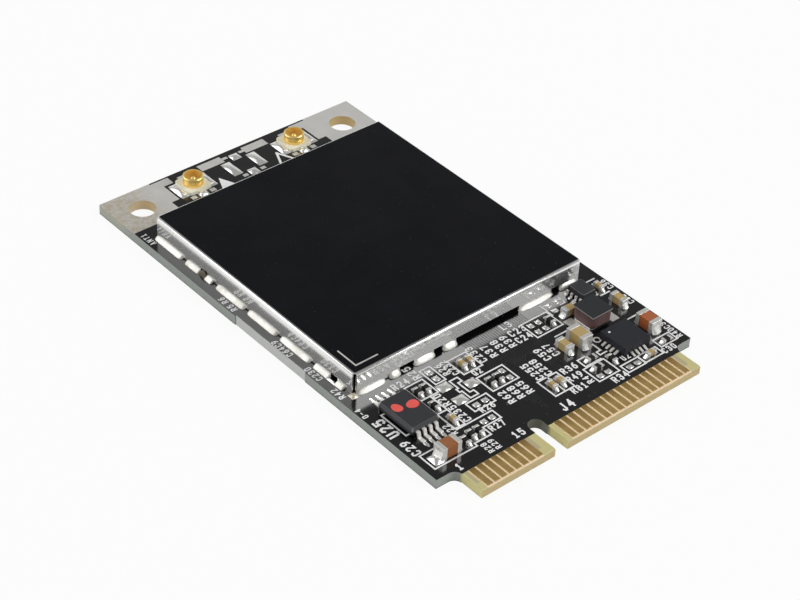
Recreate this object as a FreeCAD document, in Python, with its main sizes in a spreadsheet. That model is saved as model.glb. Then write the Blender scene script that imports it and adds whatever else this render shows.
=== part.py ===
import FreeCAD, Part
import Sketcher
import os

# Radio card for a small edge socket, in millimetres.
# Origin: centre of the underside. +Y runs from the edge contacts to the antenna sockets, +Z is up.

# Driving dimensions of the board and of what is folded, stamped or moulded
SIZES = {
    # Board
    "board_width": 30.0,
    "board_length": 50.95,
    "board_thickness": 1.0,
    "mask_thickness": 0.03,
    "mask_reveal": 2.5,
    "shoulder_width": 2.15,
    "tongue_depth": 3.2,
    "shoulder_radius": 0.8,
    "tongue_lead_in": 0.12,
    "key_offset": -3.9,
    "key_width": 1.5,
    "key_depth": 3.9,
    # Screw holes and the ground lands round them
    "hole_radius": 1.3,
    "hole_from_side": 2.9,
    "hole_from_rear": 2.9,
    "plating_thickness": 0.05,
    "ground_length": 5.68,
    "ground_width": 6.57,
    "ground_step": 0.9,
    "ground_step_length": 3.72,
    "ground_tail_width": 1.1,
    "ground_tail_length": 1.2,
    "ground_tail_gap": 0.2,
    "hole_ring_width": 0.9,
    "strip_width": 2.7,
    "strip_inward": 0.4,
    "strip_length": 1.0,
    "strip_rear_gap": 0.35,
    # Plated stretch of the left edge
    "edge_recess_depth": 0.12,
    "edge_recess_length": 9.8,
    "edge_recess_start": 20.2,
    "edge_plating_thickness": 0.06,
    # Edge contacts
    "contact_pitch": 0.8,
    "contact_width": 0.64,
    "contact_end_gap": 0.03,
    "contact_left_of_key": 2.35,
    "contact_right_of_key": 1.65,
    "contact_left_margin": 1.0,
    "contact_right_margin": 1.5,
    "contact_bottom_shift": 0.4,
    # Shield can
    "can_left_margin": 1.34,
    "can_right_margin": 1.79,
    "can_front_margin": 15.33,
    "can_rear_margin": 7.1,
    "can_height": 2.2,
    "can_sheet": 0.2,
    "can_bend": 0.26,
    "can_corner_slit": 0.32,
    "foot_height": 0.1,
    "foot_pitch": 4.62,
    "foot_length": 3.9,
    "foot_first": 3.1,
    "foot_last_margin": 0.02,
    "arch_width": 0.9,
    "arch_height": 0.55,
    "arch_offset": 0.5,
    "slot_height": 0.55,
    "film_gap": 0.02,
    "film_thickness": 0.06,
    "foot_solder_run": 0.4,
    "foot_solder_rise": 0.33,
    # Antenna sockets
    "socket_land_gap": 0.305,
    "socket_from_rear": 2.72,
    "socket_base_side": 2.6,
    "socket_base_height": 0.35,
    "socket_base_corner": 0.3,
    "socket_height": 1.25,
    "shell_radius": 1.0,
    "shell_wall": 0.22,
    "shell_groove_depth": 0.08,
    "shell_groove_low": 0.3,
    "shell_groove_high": 0.55,
    "shell_lip": 0.07,
    "pin_radius": 0.25,
    "pin_tip": 0.1,
    "pin_below_rim": 0.25,
    "tab_reach": 0.45,
    "tab_width": 1.8,
    "tab_thickness": 0.18,
    "signal_tab_width": 0.6,
    "tab_solder_gap": 0.04,
    "socket_land_centre": 1.5,
    "socket_land_width": 1.05,
    "socket_land_length": 2.3,
    "socket_signal_land": 1.0,
    # Solder of the chip components and of the bare lands
    "termination_thickness": 0.03,
    "solder_reach": 0.32,
    "solder_ridge": 0.06,
    "pillow_rise": 0.14,
    "pillow_inset": 0.12,
    # Chip resistors, and capacitors in three case sizes
    "resistor_length": 1.0,
    "resistor_width": 0.5,
    "resistor_height": 0.35,
    "resistor_band": 0.24,
    "resistor_solder": 0.22,
    "small_length": 1.0,
    "small_width": 0.5,
    "small_height": 0.5,
    "small_band": 0.26,
    "small_solder": 0.3,
    "medium_length": 1.6,
    "medium_width": 0.8,
    "medium_height": 0.8,
    "medium_band": 0.38,
    "medium_solder": 0.5,
    "large_length": 2.05,
    "large_width": 1.25,
    "large_height": 1.2,
    "large_band": 0.45,
    "large_solder": 0.75,
    # Memory chip, leads on the front and rear sides
    "memory_width": 3.0,
    "memory_length": 4.4,
    "memory_height": 0.95,
    "memory_standoff": 0.1,
    "memory_pitch": 0.65,
    "memory_span": 6.4,
    "memory_foot": 0.6,
    "memory_lead_width": 0.34,
    "memory_lead_thickness": 0.13,
    "memory_lead_height": 0.5,
    "memory_draft": 0.12,
    "memory_solder_reach": 0.65,
    # Switch chip, leads on the left and right sides
    "switch_width": 1.7,
    "switch_length": 2.1,
    "switch_height": 0.85,
    "switch_standoff": 0.08,
    "switch_pitch": 0.55,
    "switch_span": 2.5,
    "switch_foot": 0.22,
    "switch_lead_width": 0.28,
    "switch_lead_thickness": 0.11,
    "switch_lead_height": 0.36,
    "switch_draft": 0.08,
    "switch_solder_reach": 0.12,
    "lead_solder_rise": 0.08,
    # Converter chip without leads
    "converter_side": 3.1,
    "converter_height": 0.85,
    "converter_pitch": 0.5,
    "converter_pad_width": 0.28,
    "converter_pad_reach": 0.55,
    "converter_pad_rise": 0.2,
    "converter_dot_radius": 0.17,
    "converter_dot_depth": 0.04,
    "converter_dot_inset": 0.55,
    # Drum inductor
    "drum_side": 2.55,
    "drum_base_side": 2.3,
    "drum_top_height": 0.13,
    "drum_base_height": 0.2,
    "drum_height": 1.55,
    "drum_neck_radius": 0.75,
    "drum_corner": 0.08,
    "winding_side": 2.75,
    "winding_corner": 0.8,
    "drum_terminal_width": 1.9,
    "drum_terminal_thickness": 0.06,
    "drum_foot_length": 0.3,
    # Pieces under the shield can
    "radio_side": 9.0,
    "radio_height": 0.85,
    "front_end_side": 3.5,
    "front_end_height": 0.8,
    "crystal_length": 3.2,
    "crystal_width": 2.5,
    "crystal_height": 0.7,
    "crystal_lid_inset": 0.2,
    "crystal_base_height": 0.4,
    "filter_length": 2.0,
    "filter_width": 1.25,
    "filter_height": 0.9,
}

# Counts that a case style fixes
MEMORY_LEADS_PER_SIDE = 4
SWITCH_LEADS_PER_SIDE = 4
CONVERTER_PADS_PER_SIDE = 4

# Places on the board: name, nearer side edge, distance in from it, distance behind the front edge
RESISTORS_ALONG_Y = [
    ("resistor_1", "left", 5.9, 12.25),
    ("resistor_2", "left", 6.75, 12.25),
    ("resistor_3", "left", 5.9, 10.1),
    ("resistor_4", "left", 5.0, 5.2),
    ("resistor_5", "left", 5.9, 5.5),
    ("resistor_6", "left", 6.75, 5.5),
    ("resistor_7", "left", 11.8, 9.5),
    ("resistor_8", "left", 12.7, 9.5),
    ("resistor_9", "right", 8.3, 12.5),
    ("resistor_10", "right", 7.7, 5.35),
]
RESISTORS_ALONG_X = [
    ("resistor_11", "right", 9.15, 6.5),
    ("resistor_12", "right", 9.55, 5.35),
    ("resistor_13", "right", 2.0, 4.3),
]
SMALL_ALONG_Y = [
    ("small_capacitor_1", "left", 5.9, 7.85),
    ("small_capacitor_2", "left", 11.3, 12.7),
    ("small_capacitor_3", "left", 12.15, 12.7),
    ("small_capacitor_4", "right", 14.4, 5.9),
    ("small_capacitor_5", "right", 13.45, 5.9),
    ("small_capacitor_6", "right", 1.4, 13.35),
]
SMALL_ALONG_X = [("small_capacitor_7", "right", 4.55, 3.75)]
MEDIUM_ALONG_Y = [
    ("medium_capacitor_1", "right", 10.0, 8.95),
    ("medium_capacitor_2", "right", 1.5, 10.7),
]
MEDIUM_ALONG_X = [("medium_capacitor_3", "right", 6.1, 12.3)]
LARGE_TAN = ("output_capacitor", "right", 8.3, 8.9)
LARGE_LEFT = ("input_capacitor_left", "left", 2.9, 5.15)
LARGE_RIGHT = ("input_capacitor_right", "right", 1.85, 6.7)
MEMORY = ("memory", "left", 3.2, 10.4)
SWITCH = ("switch", "right", 3.42, 13.55)
CONVERTER = ("converter", "right", 5.0, 6.5)
DRUM = ("drum", "right", 5.2, 10.41)

# Lands where no part is fitted: name, place as above, size along X, size along Y
BARE_LANDS = [
    ("bare_1", "left", 8.43, 13.7, 0.6, 0.65),
    ("bare_2", "left", 8.43, 12.75, 0.6, 0.65),
    ("bare_3", "left", 8.2, 11.5, 1.3, 1.05),
    ("bare_4", "left", 8.2, 9.45, 1.3, 1.05),
    ("bare_5", "left", 10.45, 10.5, 1.2, 1.05),
    ("bare_6", "left", 8.85, 8.12, 0.65, 0.55),
    ("bare_7", "left", 9.85, 8.12, 0.65, 0.55),
    ("bare_8", "left", 7.88, 6.15, 0.6, 0.55),
    ("bare_9", "left", 8.8, 6.15, 0.6, 0.55),
    ("bare_10", "left", 13.6, 10.1, 0.55, 0.6),
    ("bare_11", "left", 13.6, 9.05, 0.55, 0.6),
    ("bare_12", "right", 10.15, 13.05, 0.55, 0.6),
    ("bare_13", "right", 10.15, 12.05, 0.55, 0.6),
    ("bare_14", "right", 9.25, 13.05, 0.55, 0.6),
    ("bare_15", "right", 9.25, 12.05, 0.55, 0.6),
    ("bare_16", "right", 6.95, 14.2, 0.6, 0.5),
    ("bare_17", "right", 5.95, 14.2, 0.5, 0.5),
    ("bare_18", "right", 6.9, 13.35, 0.65, 0.5),
    ("bare_19", "right", 10.05, 4.4, 0.65, 0.55),
    ("bare_20", "right", 9.1, 4.4, 0.65, 0.55),
    ("bare_21", "right", 7.15, 3.72, 0.65, 0.55),
    ("bare_22", "right", 6.2, 3.72, 0.65, 0.55),
]

# Stretches of the front wall that are soldered down: name, side wall, distances in from it
FRONT_FEET = [
    ("front_foot_1", "left", 0.4, 3.4),
    ("front_foot_2", "left", 3.95, 5.15),
    ("front_foot_3", "left", 6.75, 9.05),
    ("front_foot_4", "left", 10.05, 11.65),
    ("front_foot_5", "right", 7.7, 3.7),
    ("front_foot_6", "right", 2.7, 0.6),
]
# The front wall's openings: the feet they lie between, and the height they have
FRONT_OPENINGS = [
    ("front_foot_2", "front_foot_3", "arch_height"),
    ("front_foot_3", "front_foot_4", "arch_height"),
    ("front_foot_5", "front_foot_6", "arch_height"),
    ("front_foot_4", "front_foot_5", "slot_height"),
]

# Places under the can: name, side wall, distance in from it, distance behind the middle of the can
RADIO = ("radio", "left", 10.3, -3.14)
FRONT_ENDS = [
    ("front_end_left", "left", 7.3, 6.64),
    ("front_end_right", "right", 8.8, 6.64),
]
CRYSTAL = ("crystal", "right", 6.8, -4.64)
FILTERS = [
    ("filter_left", "left", 7.3, 10.14),
    ("filter_right", "right", 8.8, 10.14),
]
SHIELDED_CAPACITORS = [
    ("shielded_1", "right", 9.7, -9.64),
    ("shielded_2", "right", 8.1, -9.64),
    ("shielded_3", "right", 6.5, -9.64),
    ("shielded_4", "left", 3.7, -5.14),
    ("shielded_5", "left", 3.7, -2.14),
    ("shielded_6", "left", 12.3, 4.64),
    ("shielded_7", "right", 12.7, 4.64),
    ("shielded_8", "left", 12.3, 8.14),
]

# How closely two lengths agree when edges are picked and rows are counted
SAME_PLACE = 1e-6

doc = FreeCAD.newDocument("RadioCard")
sheet = doc.addObject("Spreadsheet::Sheet", "Sizes")
nodes = []
side_of = {}


def fill_sheet():
    """Write every driving dimension and place into the sheet, one aliased cell each."""
    entries = dict(SIZES)
    placed = RESISTORS_ALONG_Y + RESISTORS_ALONG_X + SMALL_ALONG_Y + SMALL_ALONG_X
    placed += MEDIUM_ALONG_Y + MEDIUM_ALONG_X
    placed += [LARGE_TAN, LARGE_LEFT, LARGE_RIGHT, MEMORY, SWITCH, CONVERTER, DRUM]
    for name, side, inset, behind in placed:
        side_of[name] = side
        entries[name + "_inset"] = inset
        entries[name + "_behind"] = behind
    for name, side, inset, behind, size_x, size_y in BARE_LANDS:
        side_of[name] = side
        entries[name + "_inset"] = inset
        entries[name + "_behind"] = behind
        entries[name + "_size_x"] = size_x
        entries[name + "_size_y"] = size_y
    for name, side, start, end in FRONT_FEET:
        side_of[name] = side
        entries[name + "_start"] = start
        entries[name + "_end"] = end
    for name, side, inset, behind_middle in [RADIO, CRYSTAL] + FRONT_ENDS + FILTERS + SHIELDED_CAPACITORS:
        side_of[name] = side
        entries[name + "_inset"] = inset
        entries[name + "_behind_middle"] = behind_middle
    for row, (alias, size) in enumerate(entries.items(), start=1):
        sheet.set(f"A{row}", alias)
        sheet.set(f"B{row}", str(size))
        sheet.setAlias(f"B{row}", alias)
    doc.recompute()


def cell(alias):
    """The expression that reads one cell."""
    return f"Sizes.{alias}"


def number(expression):
    """The present value of an expression, for counts and for a sketch's first guess."""
    return float(sheet.evalExpression(expression))


def add(*terms):
    return "(" + " + ".join(f"({term})" for term in terms) + ")"


def minus(first, second):
    return f"(({first}) - ({second}))"


def half(expression):
    return f"(({expression}) / 2)"


def negative(expression):
    return f"(-({expression}))"


def bind(target, **expressions):
    """Tie properties of an object to expressions on the sheet."""
    for name, expression in expressions.items():
        target.setExpression(name, str(expression))


def place(target, x, y, z):
    """Tie the position of an object to expressions on the sheet."""
    for axis, expression in zip("xyz", (x, y, z)):
        target.setExpression(f"Placement.Base.{axis}", str(expression))


def box(name, x, y, z, size_x, size_y, size_z):
    """A block from its lowest corner."""
    block = doc.addObject("Part::Box", name)
    bind(block, Length=size_x, Width=size_y, Height=size_z)
    place(block, x, y, z)
    return block


def block_on(name, centre, z, size_x, size_y, size_z):
    """A block standing at height z, centred on a place."""
    x = minus(centre[0], half(size_x))
    y = minus(centre[1], half(size_y))
    return box(name, x, y, z, size_x, size_y, size_z)


def cut(name, base, tool):
    result = doc.addObject("Part::Cut", name)
    result.Base = base
    result.Tool = tool
    return result


def common(name, base, tool):
    result = doc.addObject("Part::Common", name)
    result.Base = base
    result.Tool = tool
    return result


def group(name, members):
    """Separate solids that share one node."""
    result = doc.addObject("Part::Compound", name)
    result.Links = members
    return result


def node(label, target):
    """Name a finished sub-part."""
    target.Label = label
    nodes.append(target)
    return target


def new_body(name):
    return doc.addObject("PartDesign::Body", name)


def plane_of(body, role):
    return [feature for feature in body.Origin.OriginFeatures if feature.Role == role][0]


def new_sketch(body, name, role="XY_Plane", offset="0"):
    """A sketch on one of the body's own origin planes, moved along the plane's normal."""
    sketch = body.newObject("Sketcher::SketchObject", name)
    sketch.AttachmentSupport = [(plane_of(body, role), "")]
    sketch.MapMode = "FlatFace"
    sketch.setExpression("AttachmentOffset.Base.z", str(offset))
    return sketch


def fix_point(sketch, geometry, position, x, y):
    """Fix a point of a sketch by its two distances from the sketch's origin."""
    for kind, expression in (("DistanceX", x), ("DistanceY", y)):
        constraint = Sketcher.Constraint(kind, -1, 1, geometry, position, number(expression))
        index = sketch.addConstraint(constraint)
        sketch.setExpression(f"Constraints[{index}]", str(expression))


def polygon(sketch, points):
    """A closed outline whose corners are given by expressions."""
    corners = [FreeCAD.Vector(number(x), number(y), 0) for x, y in points]
    lines = []
    for start, end in zip(corners, corners[1:] + corners[:1]):
        lines.append(sketch.addGeometry(Part.LineSegment(start, end), False))
    for line, following in zip(lines, lines[1:] + lines[:1]):
        sketch.addConstraint(Sketcher.Constraint("Coincident", line, 2, following, 1))
    for line, (x, y) in zip(lines, points):
        fix_point(sketch, line, 1, x, y)


def rectangle(sketch, left, right, front, rear):
    polygon(sketch, [(left, front), (right, front), (right, rear), (left, rear)])


def circle(sketch, x, y, radius):
    centre = FreeCAD.Vector(number(x), number(y), 0)
    up = FreeCAD.Vector(0, 0, 1)
    ring = sketch.addGeometry(Part.Circle(centre, up, number(radius)), False)
    fix_point(sketch, ring, 3, x, y)
    index = sketch.addConstraint(Sketcher.Constraint("Radius", ring, number(radius)))
    sketch.setExpression(f"Constraints[{index}]", str(radius))


def pad(body, sketch, name, length, both_ways=False):
    feature = body.newObject("PartDesign::Pad", name)
    feature.Profile = sketch
    bind(feature, Length=length)
    if both_ways:
        feature.SideType = "Symmetric"
    doc.recompute()
    return feature


def pocket_up(body, sketch, name, depth):
    """Cut upwards from the sketch's plane, and make sure that something was cut away."""
    before = body.Shape.Volume
    feature = body.newObject("PartDesign::Pocket", name)
    feature.Profile = sketch
    feature.Reversed = True
    bind(feature, Length=depth)
    doc.recompute()
    if not body.Shape.Volume < before:
        raise RuntimeError(name + " cuts nothing")
    return feature


def edge_names(shape, wanted):
    """The names of the edges for which wanted(edge) holds."""
    return [f"Edge{index}" for index, edge in enumerate(shape.Edges, start=1) if wanted(edge)]


def soften(body, kind, name, wanted, size):
    """Round or bevel chosen edges of a body's present shape."""
    base = body.Tip
    feature = body.newObject(f"PartDesign::{kind}", name)
    feature.Base = (base, edge_names(base.Shape, wanted))
    if kind == "Fillet":
        bind(feature, Radius=size)
    else:
        bind(feature, Size=size)
    doc.recompute()
    return feature


def is_upright(edge):
    """True for a straight edge along Z."""
    ends = [vertex.Point for vertex in edge.Vertexes]
    if len(ends) != 2:
        return False
    run = ends[1] - ends[0]
    return abs(run.x) + abs(run.y) < SAME_PLACE < abs(run.z)


def lies_at(edge, axis, level):
    """True for an edge whose two ends share one coordinate."""
    ends = [getattr(vertex.Point, axis) for vertex in edge.Vertexes]
    return len(ends) == 2 and all(abs(end - level) < SAME_PLACE for end in ends)


def upright_at(edge, x, y):
    """True for an upright edge at a place in plan."""
    if not is_upright(edge):
        return False
    point = edge.Vertexes[0].Point
    return abs(point.x - x) < SAME_PLACE and abs(point.y - y) < SAME_PLACE


def wedge(name, anchor, z, heading, width, run, rise):
    """A ramp of solder that falls away from a face towards a heading, in degrees from +X."""
    ramp = doc.addObject("Part::Wedge", name)
    bind(ramp, Xmin="0", Ymin="0", X2min="0", Xmax=run, Ymax=rise, X2max=cell("solder_ridge"))
    for prefix in ("Z", "Z2"):
        ramp.setExpression(prefix + "min", negative(half(width)))
        ramp.setExpression(prefix + "max", half(width))
    upright = FreeCAD.Rotation(FreeCAD.Vector(1, 0, 0), 90)
    turn = FreeCAD.Rotation(FreeCAD.Vector(0, 0, 1), heading)
    ramp.Placement = FreeCAD.Placement(FreeCAD.Vector(0, 0, 0), turn.multiply(upright))
    place(ramp, anchor[0], anchor[1], z)
    return ramp


fill_sheet()

# Edges and levels that everything else is placed from
right_edge = half(cell("board_width"))
left_edge = negative(right_edge)
rear_edge = half(cell("board_length"))
front_edge = negative(rear_edge)
board_top = cell("board_thickness")
laminate_top = minus(board_top, cell("mask_thickness"))
laminate_bottom = cell("mask_thickness")
laminate_height = minus(laminate_top, laminate_bottom)
mask_front = add(front_edge, cell("mask_reveal"))
shoulder_y = add(front_edge, cell("tongue_depth"))
tongue_right = minus(right_edge, cell("shoulder_width"))
hole_y = minus(rear_edge, cell("hole_from_rear"))
hole_x = minus(right_edge, cell("hole_from_side"))
can_left = add(left_edge, cell("can_left_margin"))
can_right = minus(right_edge, cell("can_right_margin"))
can_front = add(front_edge, cell("can_front_margin"))
can_rear = minus(rear_edge, cell("can_rear_margin"))
can_centre = (half(add(can_left, can_right)), half(add(can_front, can_rear)))
can_top = add(board_top, cell("can_height"))
ground_inner = minus(right_edge, cell("ground_width"))
socket_reach = add(cell("socket_land_centre"), half(cell("socket_land_width")))
socket_x = minus(minus(ground_inner, cell("socket_land_gap")), socket_reach)
socket_y = minus(rear_edge, cell("socket_from_rear"))
lands = []
solder = []


def on_board(name):
    """The centre of a component that is placed from a side edge and the front edge."""
    inset = cell(name + "_inset")
    x = add(left_edge, inset) if side_of[name] == "left" else minus(right_edge, inset)
    return x, add(front_edge, cell(name + "_behind"))


def in_from_wall(name, distance):
    """A place along X, measured in from the can's side wall that the piece belongs to."""
    if side_of[name] == "left":
        return add(can_left, distance)
    return minus(can_right, distance)


def under_can(name):
    """The centre of a component that is placed from a side wall and the middle of the can."""
    y = add(can_centre[1], cell(name + "_behind_middle"))
    return in_from_wall(name, cell(name + "_inset")), y


def land(name, centre, size_x, size_y):
    """A tinned copper land, flush with the mask's surface."""
    plate = block_on(name, centre, laminate_top, size_x, size_y, cell("mask_thickness"))
    lands.append(plate)
    return plate


# Board outline: the blank that the laminate and both masks are cut from
def board_blank():
    body = new_body("BoardBlank")
    outline = new_sketch(body, "BoardOutline")
    tongue_left = negative(tongue_right)
    polygon(outline, [
        (tongue_left, front_edge), (tongue_right, front_edge), (tongue_right, shoulder_y),
        (right_edge, shoulder_y), (right_edge, rear_edge), (left_edge, rear_edge),
        (left_edge, shoulder_y), (tongue_left, shoulder_y),
    ])
    pad(body, outline, "BoardPlate", board_top)
    inner_corners = [(number(side), number(shoulder_y)) for side in (tongue_left, tongue_right)]

    def at_inner_corner(edge):
        return any(upright_at(edge, x, y) for x, y in inner_corners)

    soften(body, "Fillet", "ShoulderRounds", at_inner_corner, cell("shoulder_radius"))
    key_half = half(cell("key_width"))
    key_end = minus(add(front_edge, cell("key_depth")), key_half)
    key = new_sketch(body, "KeySides")
    key_left = minus(cell("key_offset"), key_half)
    rectangle(key, key_left, add(cell("key_offset"), key_half), minus(front_edge, key_half), key_end)
    pocket_up(body, key, "KeyNotch", board_top)
    round_end = new_sketch(body, "KeyRound")
    circle(round_end, cell("key_offset"), key_end, key_half)
    pocket_up(body, round_end, "KeyRoundEnd", board_top)
    holes = new_sketch(body, "ScrewHoles")
    for x in (hole_x, negative(hole_x)):
        circle(holes, x, hole_y, add(cell("hole_radius"), cell("plating_thickness")))
    pocket_up(body, holes, "ScrewHoleBores", board_top)
    recess = new_sketch(body, "EdgeRecess")
    recess_start = add(front_edge, cell("edge_recess_start"))
    depth = cell("edge_recess_depth")
    recess_end = add(recess_start, cell("edge_recess_length"))
    rectangle(recess, minus(left_edge, depth), add(left_edge, depth), recess_start, recess_end)
    pocket_up(body, recess, "EdgeRecessCut", board_top)
    front = number(front_edge)
    levels = (0.0, number(board_top))

    def at_tongue_end(edge):
        return lies_at(edge, "y", front) and any(lies_at(edge, "z", level) for level in levels)

    soften(body, "Chamfer", "TongueLeadIn", at_tongue_end, cell("tongue_lead_in"))
    return body


blank = board_blank()
whole_width = cell("board_width")
core_slab = box("CoreSlab", left_edge, front_edge, laminate_bottom, whole_width,
                cell("board_length"), laminate_height)
node("circuit_board", common("CircuitBoard", blank, core_slab))

# Plated stretch of the left edge, lying in its shallow recess
plating = cell("edge_plating_thickness")
node("edge_plating", box(
    "EdgePlating", minus(add(left_edge, cell("edge_recess_depth")), plating),
    add(front_edge, cell("edge_recess_start")), "0", plating, cell("edge_recess_length"), board_top))


# Screw hole lands: a plate on top, the plated wall of the hole and a ring below, all one plating
def ground_land(name, side):
    body = new_body(name)

    def across(distance):
        return distance if side > 0 else negative(distance)

    step = add(ground_inner, cell("ground_step"))
    tail = minus(ground_inner, cell("ground_tail_width"))
    front = minus(rear_edge, cell("ground_length"))
    step_front = minus(rear_edge, cell("ground_step_length"))
    tail_rear = minus(rear_edge, cell("ground_tail_gap"))
    tail_front = minus(rear_edge, cell("ground_tail_length"))
    corners = [(right_edge, front), (right_edge, rear_edge), (step, rear_edge), (step, tail_rear),
               (tail, tail_rear), (tail, tail_front), (ground_inner, tail_front),
               (ground_inner, step_front), (step, step_front), (step, front)]
    plate = new_sketch(body, name + "PlateOutline", offset=laminate_top)
    polygon(plate, [(across(x), y) for x, y in corners])
    pad(body, plate, name + "Plate", cell("mask_thickness"))
    wall = new_sketch(body, name + "WallOutline")
    circle(wall, across(hole_x), hole_y, add(cell("hole_radius"), cell("plating_thickness")))
    pad(body, wall, name + "Wall", board_top)
    ring = new_sketch(body, name + "RingOutline")
    circle(ring, across(hole_x), hole_y, add(cell("hole_radius"), cell("hole_ring_width")))
    pad(body, ring, name + "Ring", cell("mask_thickness"))
    bore = new_sketch(body, name + "BoreOutline")
    circle(bore, across(hole_x), hole_y, cell("hole_radius"))
    pocket_up(body, bore, name + "Bore", board_top)
    return body


ground_left = node("ground_land_left", ground_land("GroundLeft", -1))
ground_right = node("ground_land_right", ground_land("GroundRight", 1))

# Ground strips along the rear edge, about halfway between the sockets and the empty socket place
strip_y = minus(minus(rear_edge, cell("strip_rear_gap")), half(cell("strip_length")))
strip_middle = minus(half(socket_x), cell("strip_inward"))
strips = []
for strip_name, strip_x in (("StripLeft", negative(strip_middle)), ("StripRight", strip_middle)):
    strips.append(block_on(strip_name, (strip_x, strip_y), laminate_top, cell("strip_width"),
                           cell("strip_length"), cell("mask_thickness")))
rear_strips = node("rear_ground_strips", group("RearStrips", strips))


# Edge contacts: the row left of the key and the row right of it, as many as the tongue has room for
def contact_row(name, z, shift):
    pitch = cell("contact_pitch")
    left_first = minus(add(cell("key_offset"), shift), cell("contact_left_of_key"))
    right_first = add(cell("key_offset"), shift, cell("contact_right_of_key"))
    left_room = number(minus(add(left_first, tongue_right), add(cell("contact_left_margin"), shift)))
    right_room = number(minus(add(tongue_right, shift), add(right_first, cell("contact_right_margin"))))
    y = add(front_edge, cell("tongue_lead_in"), cell("contact_end_gap"))
    contact_length = minus(mask_front, y)
    fingers = []
    for first, room, step in ((left_first, left_room, -1), (right_first, right_room, 1)):
        count = int(room / number(pitch) + SAME_PLACE) + 1
        for index in range(count):
            centre = add(first, f"{step * index} * {pitch}")
            x = minus(centre, half(cell("contact_width")))
            fingers.append(box(f"{name}Finger", x, y, z, cell("contact_width"), contact_length,
                               cell("mask_thickness")))
    return group(name, fingers)


node("edge_contacts_top", contact_row("ContactsTop", laminate_top, "0"))
node("edge_contacts_bottom", contact_row("ContactsBottom", "0", cell("contact_bottom_shift")))


# Shield can: one sheet folded down on four sides, open at the corners, standing on soldered feet
def side_foot_centres():
    """The feet along a side wall, as many as the wall has room for."""
    room = number(minus(can_rear, can_front)) - number(cell("foot_first"))
    room -= number(cell("foot_length")) / 2 + number(cell("foot_last_margin"))
    room -= number(cell("can_corner_slit"))
    count = int(room / number(cell("foot_pitch")) + SAME_PLACE) + 1
    first = add(can_front, cell("foot_first"))
    return [add(first, f"{index} * {cell('foot_pitch')}") for index in range(count)]


def arched_feet(centres):
    """The foot nearest the front wall and the last but one have an arch in them."""
    return [centres[0], centres[-2]]


def front_foot(name):
    """The two ends of a soldered stretch of the front wall."""
    return in_from_wall(name, cell(name + "_start")), in_from_wall(name, cell(name + "_end"))


def between_feet(name, following):
    """The opening from one soldered stretch of the front wall to the next."""
    return front_foot(name)[1], front_foot(following)[0]


def shield_can():
    body = new_body("ShieldCan")
    sheet_thickness = cell("can_sheet")
    slit = cell("can_corner_slit")
    outer = new_sketch(body, "CanOutline", offset=board_top)
    rectangle(outer, can_left, can_right, can_front, can_rear)
    pad(body, outer, "CanBlock", cell("can_height"))
    top = number(can_top)
    soften(body, "Fillet", "OuterBend", lambda edge: lies_at(edge, "z", top), cell("can_bend"))
    inner = new_sketch(body, "CanInside", offset=board_top)
    rectangle(inner, add(can_left, sheet_thickness), minus(can_right, sheet_thickness),
              add(can_front, sheet_thickness), minus(can_rear, sheet_thickness))
    pocket_up(body, inner, "CanHollow", minus(cell("can_height"), sheet_thickness))
    ceiling = top - number(sheet_thickness)
    bend_inside = minus(cell("can_bend"), sheet_thickness)
    soften(body, "Fillet", "InnerBend", lambda edge: lies_at(edge, "z", ceiling), bend_inside)
    corners = new_sketch(body, "CornerSlits", offset=board_top)
    for left, right in ((can_left, add(can_left, slit)), (minus(can_right, slit), can_right)):
        for front, rear in ((can_front, add(can_front, slit)), (minus(can_rear, slit), can_rear)):
            rectangle(corners, left, right, front, rear)
    pocket_up(body, corners, "CornerSlitCuts", cell("can_height"))
    centres = side_foot_centres()
    foot_half = half(cell("foot_length"))
    arch_half = half(cell("arch_width"))
    gaps = new_sketch(body, "FootGaps", offset=board_top)
    arches = new_sketch(body, "FootArches", offset=board_top)
    for left, right in ((can_left, add(can_left, sheet_thickness)),
                        (minus(can_right, sheet_thickness), can_right)):
        for centre, following in zip(centres, centres[1:]):
            rectangle(gaps, left, right, add(centre, foot_half), minus(following, foot_half))
        for centre in arched_feet(centres):
            middle = minus(centre, cell("arch_offset"))
            rectangle(arches, left, right, minus(middle, arch_half), add(middle, arch_half))
    rear_wall = (minus(can_rear, sheet_thickness), can_rear)
    feet = [name for name, _, _, _ in FRONT_FEET]
    for name, following in zip(feet, feet[1:]):
        rectangle(gaps, *between_feet(name, following), *rear_wall)
    front_wall = (can_front, add(can_front, sheet_thickness))
    rectangle(gaps, *between_feet(feet[0], feet[1]), *front_wall)
    pocket_up(body, gaps, "FootGapCuts", cell("foot_height"))
    pocket_up(body, arches, "FootArchCuts", cell("arch_height"))
    for name, following, height in FRONT_OPENINGS:
        opening = new_sketch(body, "FrontOpening", offset=board_top)
        rectangle(opening, *between_feet(name, following), *front_wall)
        pocket_up(body, opening, "FrontOpeningCut", cell(height))
    return body


node("shield_can", shield_can())

# Black film on the flat top of the can
film_inset = add(cell("can_bend"), cell("film_gap"))
film_width = minus(minus(can_right, can_left), add(film_inset, film_inset))
film_length = minus(minus(can_rear, can_front), add(film_inset, film_inset))
node("shield_film", block_on("ShieldFilm", can_centre, can_top, film_width, film_length,
                             cell("film_thickness")))


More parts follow.
